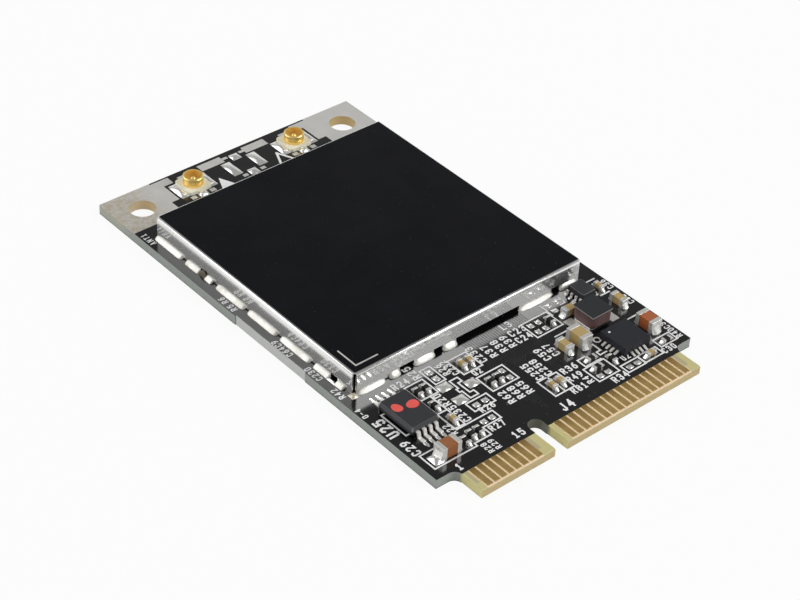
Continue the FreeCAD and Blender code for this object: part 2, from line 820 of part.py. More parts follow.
# Solder along the feet of the can
def foot_solder():
    ramps = []

    def joint(name, anchor, heading, width):
        ramps.append(wedge(name, anchor, board_top, heading, width, cell("foot_solder_run"),
                           cell("foot_solder_rise")))

    centres = side_foot_centres()
    arched = arched_feet(centres)
    arch_half = half(cell("arch_width"))
    stub = minus(half(cell("foot_length")), arch_half)
    front_stub = minus(stub, cell("arch_offset"))
    rear_stub = add(stub, cell("arch_offset"))
    for wall, heading in ((can_left, 180), (can_right, 0)):
        for centre in centres:
            if centre not in arched:
                joint("SideFootSolder", (wall, centre), heading, cell("foot_length"))
                continue
            middle = minus(centre, cell("arch_offset"))
            for side, length in (("-1", front_stub), ("1", rear_stub)):
                away = f"{side} * {add(arch_half, half(length))}"
                joint("SideFootSolder", (wall, add(middle, away)), heading, length)
    for wall, heading in ((can_front, 270), (can_rear, 90)):
        for name, _, _, _ in FRONT_FEET:
            start, end = front_foot(name)
            joint("EndFootSolder", (half(add(start, end)), wall), heading, minus(end, start))
    return group("FootSolder", ramps)


node("shield_solder", foot_solder())


# Chip resistors and ceramic capacitors: a ceramic block with a metal cap on each end
def chip_component(case, centre, along_x):
    """Returns the block and its two end caps, and adds the solder at both ends."""
    length, width, height = (cell(f"{case}_{side}") for side in ("length", "width", "height"))
    band = cell(f"{case}_band")
    wall = cell("termination_thickness")
    walls = add(wall, wall)

    def across(along, aside):
        return (along, aside) if along_x else (aside, along)

    core = block_on("ChipCore", centre, add(board_top, wall),
                    *across(minus(length, walls), minus(width, walls)), minus(height, walls))
    caps = []
    for step, heading in ((1, 0), (-1, 180)):
        heading += 0 if along_x else 90

        def along(distance):
            shifts = across(distance if step > 0 else negative(distance), "0")
            return add(centre[0], shifts[0]), add(centre[1], shifts[1])

        cap = block_on("ChipCap", along(half(minus(length, band))), board_top, *across(band, width),
                       height)
        caps.append(cut("ChipTermination", cap, core))
        solder.append(wedge("ChipSolder", along(half(length)), board_top, heading, minus(width, walls),
                            cell("solder_reach"), cell(f"{case}_solder")))
    return core, caps


def chip_nodes(label, case, places_y, places_x):
    """One node of blocks and one of end caps for a set of like chip components."""
    cores = []
    caps = []
    for places, along_x in ((places_y, False), (places_x, True)):
        for name, _, _, _ in places:
            core, ends = chip_component(case, on_board(name), along_x)
            cores.append(core)
            caps += ends
    node(label + ("_body" if len(cores) == 1 else "_bodies"), group("ChipBodies", cores))
    node(label + "_terminations", group("ChipTerminations", caps))


chip_nodes("resistor", "resistor", RESISTORS_ALONG_Y, RESISTORS_ALONG_X)
chip_nodes("small_capacitor", "small", SMALL_ALONG_Y, SMALL_ALONG_X)
chip_nodes("medium_capacitor", "medium", MEDIUM_ALONG_Y, MEDIUM_ALONG_X)
chip_nodes("output_capacitor", "large", [LARGE_TAN], [])
chip_nodes("input_capacitor_left", "large", [], [LARGE_LEFT])
chip_nodes("input_capacitor_right", "large", [LARGE_RIGHT], [])


# Moulded chips with gull-wing leads on two sides
def leaded_chip(case, leads_per_side, along_x):
    """A drafted moulding and its bent leads, which leave the sides at the moulding's parting line."""
    centre = on_board(case)
    aside, along = cell(f"{case}_width"), cell(f"{case}_length")
    if along_x:
        aside, along = cell(f"{case}_length"), cell(f"{case}_width")
    draft = cell(f"{case}_draft")
    thickness = cell(f"{case}_lead_thickness")
    lead_height = cell(f"{case}_lead_height")
    lower = minus(lead_height, cell(f"{case}_standoff"))
    upper = minus(cell(f"{case}_height"), add(lower, thickness))
    seam_low = add(board_top, lead_height)
    seam_high = add(seam_low, thickness)
    halves = [(f"{case}Lower", seam_low, lower, -90), (f"{case}Upper", seam_high, upper, 90)]
    sides = (along, aside) if along_x else (aside, along)
    middle = block_on(f"{case}Seam", centre, seam_low, *sides, thickness)
    pieces = [middle]
    for name, level, height, tilt in halves:
        shell = doc.addObject("Part::Wedge", name)
        half_x, half_y = half(sides[0]), half(sides[1])
        bind(shell, Xmin=negative(half_x), Xmax=half_x, Zmin=negative(half_y), Zmax=half_y, Ymin="0",
             X2min=add(negative(half_x), draft), X2max=minus(half_x, draft), Ymax=height,
             Z2min=add(negative(half_y), draft), Z2max=minus(half_y, draft))
        turn = FreeCAD.Rotation(FreeCAD.Vector(1, 0, 0), tilt)
        shell.Placement = FreeCAD.Placement(FreeCAD.Vector(0, 0, 0), turn)
        place(shell, centre[0], centre[1], level)
        pieces.append(shell)
    moulding = doc.addObject("Part::MultiFuse", f"{case}Moulding")
    moulding.Shapes = pieces
    moulding.Refine = True
    node(f"{case}_chip_body", moulding)
    node(f"{case}_chip_leads", bent_leads(case, leads_per_side, along_x, centre, along))


def bent_leads(case, leads_per_side, along_x, centre, along):
    """Leads bent from strip: out of the side, down, and out again along the land."""
    thickness = cell(f"{case}_lead_thickness")
    side = half(along)
    tip = half(cell(f"{case}_span"))
    heel = minus(tip, cell(f"{case}_foot"))
    low = board_top
    high = add(board_top, cell(f"{case}_lead_height"))
    bend = half(minus(heel, side))
    shin = add(side, bend)
    profile = [
        (side, high), (minus(shin, half(thickness)), high), (minus(heel, thickness), low), (tip, low),
        (tip, add(low, thickness)), (heel, add(low, thickness)),
        (add(shin, half(thickness)), add(high, thickness)), (side, add(high, thickness)),
    ]
    width = cell(f"{case}_lead_width")
    pitch = cell(f"{case}_pitch")
    leads = []
    for index in range(leads_per_side):
        offset = f"({index - (leads_per_side - 1) / 2} * {pitch})"
        for facing in (1, -1):
            leads.append(one_lead(case, profile, width, centre, offset, facing, along_x))
            lead_solder(case, centre, offset, facing, along_x, tip, width)
    return group(f"{case}Leads", leads)


def one_lead(case, profile, width, centre, offset, facing, along_x):
    body = new_body(f"{case}Lead")
    shape = new_sketch(body, f"{case}LeadProfile", role="XZ_Plane")
    polygon(shape, profile)
    pad(body, shape, f"{case}LeadPad", width, both_ways=True)
    heading = (0 if facing > 0 else 180) + (0 if along_x else 90)
    turn = FreeCAD.Rotation(FreeCAD.Vector(0, 0, 1), heading)
    body.Placement = FreeCAD.Placement(FreeCAD.Vector(0, 0, 0), turn)
    if along_x:
        place(body, centre[0], add(centre[1], offset), "0")
    else:
        place(body, add(centre[0], offset), centre[1], "0")
    return body


def lead_solder(case, centre, offset, facing, along_x, tip, width):
    """The solder in front of a lead's tip."""
    heading = (0 if facing > 0 else 180) + (0 if along_x else 90)
    ahead = tip if facing > 0 else negative(tip)
    if along_x:
        anchor = (add(centre[0], ahead), add(centre[1], offset))
    else:
        anchor = (add(centre[0], offset), add(centre[1], ahead))
    solder.append(wedge(f"{case}Solder", anchor, board_top, heading, width,
                        cell(f"{case}_solder_reach"), cell("lead_solder_rise")))


leaded_chip("memory", MEMORY_LEADS_PER_SIDE, False)
leaded_chip("switch", SWITCH_LEADS_PER_SIDE, True)


# Converter chip: a flat moulding with a dimple at its first pad, soldered by pads along its four sides
def converter_chip():
    centre = on_board("converter")
    side = cell("converter_side")
    body = new_body("ConverterBody")
    outline = new_sketch(body, "ConverterOutline", offset=board_top)
    reach = half(side)
    rectangle(outline, minus(centre[0], reach), add(centre[0], reach), minus(centre[1], reach),
              add(centre[1], reach))
    pad(body, outline, "ConverterBlock", cell("converter_height"))
    dot_level = minus(add(board_top, cell("converter_height")), cell("converter_dot_depth"))
    dot = new_sketch(body, "ConverterDot", offset=dot_level)
    dot_x = add(minus(centre[0], reach), cell("converter_dot_inset"))
    dot_y = minus(add(centre[1], reach), cell("converter_dot_inset"))
    circle(dot, dot_x, dot_y, cell("converter_dot_radius"))
    pocket_up(body, dot, "ConverterDimple", cell("converter_dot_depth"))
    node("converter_chip_body", body)
    pads = []
    width = cell("converter_pad_width")
    for index in range(CONVERTER_PADS_PER_SIDE):
        offset = f"({index - (CONVERTER_PADS_PER_SIDE - 1) / 2} * {cell('converter_pitch')})"
        for heading, along, aside in ((0, 1, 0), (180, -1, 0), (90, 0, 1), (270, 0, -1)):
            anchor = (add(centre[0], f"{along} * {reach}", f"{abs(aside)} * {offset}"),
                      add(centre[1], f"{aside} * {reach}", f"{abs(along)} * {offset}"))
            pads.append(wedge("ConverterPad", anchor, board_top, heading, width,
                              cell("converter_pad_reach"), cell("converter_pad_rise")))
    node("converter_chip_pads", group("ConverterPads", pads))


converter_chip()


# Drum inductor: a core with two square flanges on a round neck, a winding, and plated end terminals
def rounded_block(name, centre, level, side, height, corner):
    body = new_body(name)
    outline = new_sketch(body, name + "Outline", offset=level)
    reach = half(side)
    rectangle(outline, minus(centre[0], reach), add(centre[0], reach), minus(centre[1], reach),
              add(centre[1], reach))
    pad(body, outline, name + "Pad", height)
    soften(body, "Fillet", name + "Corners", is_upright, corner)
    return body


def drum_inductor():
    centre = on_board("drum")
    side = cell("drum_side")
    base_side = cell("drum_base_side")
    plate = cell("drum_terminal_thickness")
    base_level = add(board_top, plate)
    base_top = add(board_top, cell("drum_base_height"))
    drum_top = add(board_top, cell("drum_height"))
    top_level = minus(drum_top, cell("drum_top_height"))
    base = rounded_block("DrumBase", centre, base_level, base_side, minus(base_top, base_level),
                         cell("drum_corner"))
    top = rounded_block("DrumTop", centre, top_level, side, cell("drum_top_height"), cell("drum_corner"))
    neck = doc.addObject("Part::Cylinder", "DrumNeck")
    bind(neck, Radius=cell("drum_neck_radius"), Height=minus(top_level, base_top))
    place(neck, centre[0], centre[1], base_top)
    core = doc.addObject("Part::MultiFuse", "DrumCore")
    core.Shapes = [base, neck, top]
    node("inductor_core", core)
    turns = rounded_block("WindingBlock", centre, base_top, cell("winding_side"),
                          minus(top_level, base_top), cell("winding_corner"))
    node("inductor_winding", cut("Winding", turns, neck))
    terminals = []
    for step in (1, -1):
        reach = half(base_side)
        foot = cell("drum_foot_length")
        under = block_on("DrumFoot", (add(centre[0], f"{step} * {minus(reach, half(foot))}"), centre[1]),
                         board_top, foot, cell("drum_terminal_width"), plate)
        upright = block_on("DrumUpright", (add(centre[0], f"{step} * {add(reach, half(plate))}"), centre[1]),
                           board_top, plate, cell("drum_terminal_width"), cell("drum_base_height"))
        clip = doc.addObject("Part::MultiFuse", "DrumClip")
        clip.Shapes = [under, upright]
        clip.Refine = True
        terminals.append(clip)
    node("inductor_terminals", group("DrumTerminals", terminals))


drum_inductor()


# Antenna sockets: moulded base, turned shell with a press groove, centre pin, and three soldered tabs
def socket_lands(x):
    """The four lands of a socket's place; returns each one's centre and size."""
    centre = cell("socket_land_centre")
    plates = []
    for step in (1, -1):
        place_x = add(x, f"{step} * {centre}")
        plates.append(((place_x, socket_y), cell("socket_land_width"), cell("socket_land_length")))
        place_y = add(socket_y, f"{step} * {centre}")
        plates.append(((x, place_y), cell("socket_signal_land"), cell("socket_signal_land")))
    for where, size_x, size_y in plates:
        land("SocketLand", where, size_x, size_y)
    return plates


def turned(name, x, profile):
    """A piece turned about an upright axis, from its half section."""
    body = new_body(name)
    section = new_sketch(body, name + "Section", role="XZ_Plane")
    polygon(section, profile)
    turn = body.newObject("PartDesign::Revolution", name + "Turned")
    turn.Profile = section
    turn.ReferenceAxis = (section, ["V_Axis"])
    turn.Angle = 360.0
    doc.recompute()
    place(body, x, socket_y, board_top)
    return body


def antenna_socket(label, x):
    base_height = cell("socket_base_height")
    rim = cell("socket_height")
    outer = cell("shell_radius")
    inner = minus(outer, cell("shell_wall"))
    waist = minus(outer, cell("shell_groove_depth"))
    lip = cell("shell_lip")
    groove_low = add(base_height, cell("shell_groove_low"))
    groove_high = add(base_height, cell("shell_groove_high"))
    base = rounded_block(label + "Base", (x, socket_y), board_top, cell("socket_base_side"), base_height,
                         cell("socket_base_corner"))
    node(label + "_base", base)
    node(label + "_shell", turned(label + "Shell", x, [
        (inner, base_height), (outer, base_height), (outer, groove_low),
        (waist, groove_low), (waist, groove_high), (outer, add(groove_high, cell("shell_groove_depth"))),
        (outer, minus(rim, lip)), (minus(outer, lip), rim), (inner, rim),
    ]))
    pin = cell("pin_radius")
    pin_top = minus(rim, cell("pin_below_rim"))
    node(label + "_pin", turned(label + "Pin", x, [
        ("0", base_height), (pin, base_height), (pin, minus(pin_top, cell("pin_tip"))),
        (minus(pin, cell("pin_tip")), pin_top), ("0", pin_top),
    ]))
    tabs = []
    side = half(cell("socket_base_side"))
    reach = cell("tab_reach")
    tab_middle = add(side, half(reach))
    gap = cell("tab_solder_gap")
    for heading, step in ((0, 1), (180, -1)):
        where = (add(x, f"{step} * {tab_middle}"), socket_y)
        tabs.append(block_on("SocketTab", where, board_top, reach, cell("tab_width"), cell("tab_thickness")))
        end = (add(x, f"{step} * {add(side, reach)}"), socket_y)
        room = minus(add(cell("socket_land_centre"), half(cell("socket_land_width"))), add(side, reach, gap))
        solder.append(wedge("TabSolder", end, board_top, heading, cell("tab_width"), room,
                            cell("tab_thickness")))
    signal = (x, minus(socket_y, tab_middle))
    tabs.append(block_on("SignalTab", signal, board_top, cell("signal_tab_width"), reach,
                         cell("tab_thickness")))
    node(label + "_tabs", group(label + "Tabs", tabs))
    socket_lands(x)


antenna_socket("antenna_socket_left", negative(socket_x))
antenna_socket("antenna_socket_right", socket_x)


# Bare lands with a pillow of solder, where no component is fitted
def pillow(centre, size_x, size_y):
    mound = doc.addObject("Part::Wedge", "SolderPillow")
    half_x, half_y = half(size_x), half(size_y)
    inset = cell("pillow_inset")
    bind(mound, Xmin=negative(half_x), Xmax=half_x, Zmin=negative(half_y), Zmax=half_y, Ymin="0",
         Ymax=cell("pillow_rise"), X2min=add(negative(half_x), inset), X2max=minus(half_x, inset),
         Z2min=add(negative(half_y), inset), Z2max=minus(half_y, inset))
    turn = FreeCAD.Rotation(FreeCAD.Vector(1, 0, 0), 90)
    mound.Placement = FreeCAD.Placement(FreeCAD.Vector(0, 0, 0), turn)
    place(mound, centre[0], centre[1], board_top)
    return mound


def bare_lands():
    pillows = []
    for name, _, _, _, _, _ in BARE_LANDS:
        sizes = (cell(name + "_size_x"), cell(name + "_size_y"))
        land("BareLand", on_board(name), *sizes)
        pillows.append(pillow(on_board(name), *sizes))
    for where, size_x, size_y in socket_lands("0"):
        pillows.append(pillow(where, size_x, size_y))
    return group("BareSolder", pillows)


node("bare_land_solder", bare_lands())
node("component_solder", group("ComponentSolder", solder))
all_lands = node("solder_lands", group("SolderLands", lands))


# Solder masks: films on both faces behind the contacts, open at the lands that show
def mask(name, level, openings):
    length = minus(rear_edge, mask_front)
    slab = box(name + "Slab", left_edge, mask_front, level, whole_width, length, cell("mask_thickness"))
    film = common(name + "Sheet", blank, slab)
    film = cut(name + "Cleared", film, openings)
    return film


top_openings = group("TopOpenings", [all_lands, ground_left, ground_right, rear_strips])
bottom_openings = group("BottomOpenings", [ground_left, ground_right])
node("solder_mask_top", mask("MaskTop", laminate_top, top_openings))
node("solder_mask_bottom", mask("MaskBottom", "0", bottom_openings))


# Pieces under the shield can
def flat_chip(label, name, side, height):
    centre = under_can(name)
    node(label, block_on(name + "Chip", centre, board_top, side, side, height))


flat_chip("radio_chip", "radio", cell("radio_side"), cell("radio_height"))
for front_end_name, _, _, _ in FRONT_ENDS:
    flat_chip(front_end_name + "_chip", front_end_name, cell("front_end_side"), cell("front_end_height"))


def reference_crystal():
    """A ceramic tray closed by a welded metal lid."""
    centre = under_can("crystal")
    tray_height = cell("crystal_base_height")
    lid_inset = add(cell("crystal_lid_inset"), cell("crystal_lid_inset"))
    node("crystal_tray", block_on("CrystalTray", centre, board_top, cell("crystal_length"),
                                  cell("crystal_width"), tray_height))
    node("crystal_lid", block_on("CrystalLid", centre, add(board_top, tray_height),
                                 minus(cell("crystal_length"), lid_inset),
                                 minus(cell("crystal_width"), lid_inset),
                                 minus(cell("crystal_height"), tray_height)))


reference_crystal()
filters = [block_on("BandFilter", under_can(name), board_top, cell("filter_length"),
                    cell("filter_width"), cell("filter_height")) for name, _, _, _ in FILTERS]
node("band_filters", group("BandFilters", filters))
shielded = [block_on("ShieldedCapacitor", under_can(name), board_top, cell("small_width"),
                     cell("small_length"), cell("small_height")) for name, _, _, _ in SHIELDED_CAPACITORS]
node("shielded_capacitors", group("ShieldedCapacitors", shielded))


# Check every object, then write one file per sub-part
def write_parts():
    doc.recompute()
    failed = [item.Name for item in doc.Objects if {"Invalid", "Error"} & set(item.State)]
    if failed:
        raise RuntimeError("failed objects: " + ", ".join(failed))
    for item in nodes:
        if item.Shape.isNull() or not item.Shape.isValid() or not item.Shape.Solids:
            raise RuntimeError("bad shape: " + item.Label)
    os.makedirs("parts", exist_ok=True)
    for item in nodes:
        item.Shape.exportStep(f"parts/{item.Label}.step")


write_parts()
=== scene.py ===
import math
import random

import bpy
from mathutils import Matrix, Vector


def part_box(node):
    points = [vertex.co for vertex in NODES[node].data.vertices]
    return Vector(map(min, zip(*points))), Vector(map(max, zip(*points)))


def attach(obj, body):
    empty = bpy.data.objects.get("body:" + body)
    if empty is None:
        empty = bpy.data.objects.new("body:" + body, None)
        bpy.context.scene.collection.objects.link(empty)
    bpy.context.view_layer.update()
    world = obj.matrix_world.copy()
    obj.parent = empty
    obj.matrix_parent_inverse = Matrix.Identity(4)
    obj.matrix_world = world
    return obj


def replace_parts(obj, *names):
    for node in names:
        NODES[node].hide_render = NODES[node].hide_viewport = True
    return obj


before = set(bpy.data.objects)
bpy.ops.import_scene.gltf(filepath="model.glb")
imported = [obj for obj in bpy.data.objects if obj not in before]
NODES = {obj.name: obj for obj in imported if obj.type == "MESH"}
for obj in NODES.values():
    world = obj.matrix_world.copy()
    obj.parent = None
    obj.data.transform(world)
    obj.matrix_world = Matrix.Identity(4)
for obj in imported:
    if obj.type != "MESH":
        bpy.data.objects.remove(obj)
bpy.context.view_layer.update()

# Radio card: looks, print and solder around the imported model
# Values times MM are metres; lists of places and plain sizes are millimetres
MM = 0.001
BOARD_LOW, BOARD_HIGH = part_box("circuit_board")
BOARD_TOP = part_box("solder_mask_top")[1].z
MASK_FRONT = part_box("solder_mask_top")[0].y
CAN_LOW, CAN_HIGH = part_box("shield_can")
FILM_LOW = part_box("shield_film")[0]
MEMORY_LOW, MEMORY_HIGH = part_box("memory_chip_body")
CONVERTER_LOW, CONVERTER_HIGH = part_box("converter_chip_body")
DRUM_LOW, DRUM_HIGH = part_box("inductor_winding")

# Points closer than this are one point
SAME_POINT = 1e-4 * MM

# Heights of flat layers above the mask, then the small steps within a layer, so that no two share a plane
TRACE_RISE = 0.006 * MM
PAD_RISE = 0.012 * MM
PRINT_RISE = 0.02 * MM
LEVELS = 60
LEVEL_STEP = 1e-4 * MM

# White print: line width, boxes as left, rear, right, front, loose lines as two ends, then one ring
PRINT_LINE = 0.16
PRINT_BOXES = [
    (-9.65, -12.05, -7.62, -14.15), (-9.65, -14.15, -8.55, -16.3), (-9.65, -16.3, -8.55, -18.55),
    (-7.15, -11.15, -6.0, -13.3), (-6.85, -16.75, -4.5, -17.95), (-4.35, -11.6, -2.2, -13.8),
    (-3.85, -14.8, -0.85, -16.95), (-0.05, -18.4, 2.2, -20.7), (4.2, -11.8, 7.3, -14.0),
    (4.3, -19.6, 6.75, -21.6), (7.2, -21.25, 9.3, -22.3), (9.35, -21.2, 11.55, -22.25),
    (12.0, -20.5, 14.0, -21.6),
]
PRINT_LINES = [
    (-12.0, -19.3, -14.25, -19.3), (-14.25, -19.3, -14.25, -21.25), (-14.25, -21.25, -9.6, -21.25),
    (-9.6, -20.9, -9.6, -21.25), (-9.6, -20.9, -7.7, -20.9), (-7.7, -20.9, -7.7, -19.85),
    (-7.7, -19.85, -5.6, -19.85), (-5.6, -19.85, -5.6, -18.7), (-5.6, -18.7, -9.6, -18.7),
    (-13.45, -13.5, -13.45, -16.7), (-13.45, -13.5, -13.1, -13.5), (-13.45, -16.7, -13.1, -16.7),
    (-5.95, -13.7, -5.05, -13.7), (-5.05, -13.7, -5.05, -14.3), (-5.05, -14.3, -5.5, -14.3),
    (-5.5, -14.3, -5.5, -15.8), (-5.5, -15.8, -5.05, -15.8), (-5.05, -15.8, -5.05, -16.4),
    (-5.05, -16.4, -5.95, -16.4), (-5.95, -16.4, -5.95, -15.3), (-5.95, -15.3, -6.2, -15.3),
    (-6.2, -15.3, -6.2, -14.85), (-6.2, -14.85, -5.95, -14.85), (-5.95, -14.85, -5.95, -13.7),
    (7.45, -10.9, 7.45, -12.5), (5.5, -14.85, 6.9, -14.85), (12.2, -17.0, 13.6, -17.0),
    (13.3, -10.9, 14.2, -10.9), (12.95, -13.1, 14.0, -13.1), (4.75, -18.4, 5.6, -18.4),
    (4.75, -18.4, 4.75, -19.45), (4.75, -19.45, 6.6, -19.45), (7.4, -17.6, 7.4, -18.6),
    (7.4, -18.6, 6.9, -18.6), (6.9, -18.6, 6.9, -19.05), (6.9, -19.05, 7.7, -19.05),
    (1.1, -18.4, 1.1, -20.7),
]
PRINT_RING = (8.15, -17.4, 0.32)
PRINT_RING_STEPS = 16
# Letters and numbers: text, left or start, baseline, cap height, then True where it reads towards the rear
PRINT_WORDS = [
    ("U25", -13.65, -16.3, 1.15, True), ("C29", -13.75, -19.1, 0.9, True),
    ("0-4", -14.3, -13.0, 0.6, True), ("R24", -10.45, -11.85, 0.82, False),
    ("R25", -7.42, -11.85, 0.85, True), ("R26", -5.1, -12.95, 0.7, True),
    ("C232", -4.4, -13.4, 0.7, True), ("C233", -1.35, -13.6, 0.78, True),
    ("R37", -0.12, -13.65, 0.8, True), ("R38", 1.05, -13.65, 0.8, True), ("R39", 2.12, -13.65, 0.8, True),
    ("L3", 2.5, -11.45, 0.82, False), ("C23", 2.45, -12.6, 0.85, False),
    ("C24", 2.35, -13.65, 0.8, False), ("R20", -7.7, -16.0, 0.8, True),
    ("C235", -7.65, -18.5, 0.78, True), ("R22", -9.75, -19.1, 0.65, True),
    ("R26", -6.45, -18.5, 0.72, False), ("R27", -7.4, -20.75, 0.76, False),
    ("R28", -8.8, -22.6, 0.6, True), ("R29", -8.0, -22.6, 0.6, True), ("Q2", -3.7, -14.55, 0.7, False),
    ("R62", -3.05, -19.1, 0.8, True), ("R68", -2.0, -19.1, 0.8, True), ("R65", -0.95, -19.1, 0.8, True),
    ("C255", 0.95, -18.3, 0.8, True), ("C258", 1.95, -18.3, 0.8, True), ("C59", 3.3, -16.8, 0.8, True),
    ("C57", 4.35, -16.8, 0.8, True), ("R36", 2.55, -19.1, 0.8, False), ("R49", 2.2, -20.2, 0.78, False),
    ("R4", 4.05, -21.3, 0.7, True), ("R81", 1.45, -21.5, 0.78, False), ("J4", -0.8, -22.6, 1.05, False),
    ("R34", 5.3, -22.65, 0.82, False), ("C30", 11.65, -22.45, 0.7, False),
    ("U2", 8.0, -20.95, 0.65, False), ("R40", 14.75, -21.6, 0.65, True),
    ("C36", 14.85, -12.9, 0.65, True), ("C3", 14.75, -20.1, 0.65, True), ("C32", 14.8, -15.6, 0.65, True),
    ("L2", 9.7, -11.9, 0.7, True), ("1", -12.75, -22.65, 0.85, False), ("15", -6.4, -22.6, 0.85, False),
    ("ANT1", -14.2, 17.35, 0.62, True), ("R5 R6", -14.22, 5.1, 0.66, True),
    ("C64C9", -14.22, -2.8, 0.66, True), ("C230", -14.22, -6.85, 0.66, True),
    ("R42", -14.22, -9.9, 0.66, True),
]
# Strokes of the letters on a field four wide and six high
STROKES = {
    "0": [[(1, 0), (3, 0), (4, 1), (4, 5), (3, 6), (1, 6), (0, 5), (0, 1), (1, 0)]],
    "1": [[(0.6, 4.8), (2, 6), (2, 0)], [(0.6, 0), (3.4, 0)]],
    "2": [[(0, 5), (1, 6), (3, 6), (4, 5), (4, 4), (0, 0), (4, 0)]],
    "3": [[(0, 5.2), (1, 6), (3, 6), (4, 5), (4, 4.2), (3, 3.2), (4, 2.2), (4, 1), (3, 0), (1, 0),
           (0, 0.8)],
          [(1.5, 3.2), (3, 3.2)]],
    "4": [[(3, 0), (3, 6), (0, 2), (4, 2)]],
    "5": [[(4, 6), (0.3, 6), (0, 3.4), (1, 3.8), (3, 3.8), (4, 2.8), (4, 1), (3, 0), (1, 0), (0, 0.8)]],
    "6": [[(3.6, 6), (1.5, 5), (0, 2.5), (0, 1), (1, 0), (3, 0), (4, 1), (4, 2.4), (3, 3.4), (1, 3.4),
           (0, 2.4)]],
    "7": [[(0, 6), (4, 6), (1.5, 0)]],
    "8": [[(1, 3.2), (0, 4.2), (0, 5), (1, 6), (3, 6), (4, 5), (4, 4.2), (3, 3.2), (1, 3.2), (0, 2.2),
           (0, 1), (1, 0), (3, 0), (4, 1), (4, 2.2), (3, 3.2)]],
    "9": [[(0.4, 0), (2.5, 1), (4, 3.5), (4, 5), (3, 6), (1, 6), (0, 5), (0, 3.6), (1, 2.6), (3, 2.6),
           (4, 3.6)]],
    "A": [[(0, 0), (2, 6), (4, 0)], [(0.8, 2), (3.2, 2)]],
    "C": [[(4, 1), (3, 0), (1, 0), (0, 1), (0, 5), (1, 6), (3, 6), (4, 5)]],
    "J": [[(0, 1), (1, 0), (2.2, 0), (3.2, 1), (3.2, 6)]],
    "L": [[(0, 6), (0, 0), (4, 0)]],
    "N": [[(0, 0), (0, 6), (4, 0), (4, 6)]],
    "Q": [[(1, 0), (3, 0), (4, 1), (4, 5), (3, 6), (1, 6), (0, 5), (0, 1), (1, 0)], [(2.4, 1.6), (4, 0)]],
    "R": [[(0, 0), (0, 6), (3, 6), (4, 5), (4, 4), (3, 3), (0, 3)], [(2, 3), (4, 0)]],
    "T": [[(0, 6), (4, 6)], [(2, 6), (2, 0)]],
    "U": [[(0, 6), (0, 1), (1, 0), (3, 0), (4, 1), (4, 6)]],
    "-": [[(0.4, 3), (3.6, 3)]],
    " ": [],
}
# The field that the strokes are drawn on, then letter width, advance and stroke against the cap height
FIELD_WIDTH = 4
FIELD_HEIGHT = 6
LETTER_WIDTH = 0.56
LETTER_STEP = 0.80
LETTER_STROKE = 0.185
SPACE_STEP = 0.4
# Antenna marks: a solid triangle and an open one, as left, right, base, tip
SOLID_MARK = (-4.2, -2.7, 20.65, 22.3)
OPEN_MARK = (2.85, 4.35, 20.65, 22.3)
OPEN_MARK_LINE = 1.5 * PRINT_LINE

# Rows of contacts, left and right of the key: between them a painted highlight of their edges, and on the
# lead-in bare copper with a painted highlight
CONTACT_ROWS = [(-12.25, -5.95), (-2.6, 11.75)]
# Where the contacts below shine through at the ends of the rows, how far behind the front edge, how strongly
CONTACT_SHADOWS = [(-12.6, -12.4), (-5.85, -5.55), (11.85, 12.15)]
SHADOW_SETBACK = 0.95 * MM
SHADOW_STRENGTH = 0.5
# Length of the darker rear ends of the contacts
CONTACT_DARK_REAR = 1.3 * MM
# A stretch in front of the board's edge, so that a patch takes in the edge itself
PAST_EDGE = 1 * MM
# Where the laminate turns paler towards the rear, a painted light as from the tinned land there, and where
# the tin gets worn towards the left
PAINTED_REAR_LIGHT = (20 * MM, 22 * MM)
WORN_LEFT = (-12.5 * MM, -9.5 * MM)
# The copper area of the underside: distance in from both sides, how far it reaches in front of the can, and
# how strongly it shows through the mask
POUR_INSET = 1 * MM
POUR_REACH = 2 * MM
POUR_STRENGTH = 0.5
# The winding gets painted shade from this height above its foot, under the upper flange
WINDING_SHADE = 0.45 * MM

# Bars of solder along x that are shorter than this climb higher up the can's wall
SHORT_BAR = 2.5 * MM
# Share of a solder ramp's height and run that is left at its rounded ends
RAMP_END_HEIGHT = 0.15
RAMP_END_RUN = 0.2
# Ramps that fall along y have rounder ends: their bluntness is divided by this
ROUNDER_ENDS = 4
# Points of a ramp's ridge lie within this of its highest point
RIDGE_DEPTH = 0.01 * MM
# Height of the pillows on bare lands against half their shorter side, and the net of each dome
DOME_RISE = 0.36
DOME_STEPS = 12
# Wider joints as centre, size, height: at the left capacitor's outer end, beside the can's left wall,
# then at the three tabs of each socket
SOLDER_POOLS = [
    (-13.42, -20.4, 1.05, 1.25, 0.3), (-13.9, -7.55, 0.34, 1.3, 0.13),
    (-7.72, 22.78, 0.95, 2.4, 0.27), (-4.5, 22.78, 0.95, 2.4, 0.27), (-6.1, 21.2, 0.9, 0.8, 0.24),
    (4.5, 22.78, 0.95, 2.4, 0.27), (7.72, 22.78, 0.95, 2.4, 0.27), (6.1, 21.2, 0.9, 0.8, 0.24),
]
# Tinned lands that reach out beside the inductor, then small spurs beside the socket places, as centre, size
SPURS = [
    (8.05, -15.07, 1.0, 2.7), (11.55, -15.07, 0.9, 2.7),
    (-7.2, 21.1, 0.6, 0.5), (-5.0, 21.1, 0.6, 0.5), (5.0, 21.1, 0.6, 0.5), (7.2, 21.1, 0.6, 0.5),
    (-1.05, 21.15, 0.55, 0.4), (1.05, 21.15, 0.55, 0.4), (-1.0, 24.6, 0.6, 0.35), (1.0, 24.6, 0.6, 0.35),
]

# Copper lines under the mask, in front of the can's long opening
TRACE_WIDTH = 0.12
TRACE_PITCH = 0.27
TRACE_FIRST = -1.75
TRACE_COUNT = 27
# How far in front of the can the lines start, bend and end; each line bends a step further out than the last
TRACE_START = 0.45
TRACE_BEND = 4.2
TRACE_BEND_STEP = 0.05
TRACE_ENDS = (6.0, 11.5)
# Of each group of lines, the first ones shift to the left at their bend and the others to the right
TRACE_GROUP = 9
TRACE_LEFTWARD = 5
LEFT_SHIFT = -0.6
RIGHT_SHIFT = 0.5
TRACE_SEED = 5
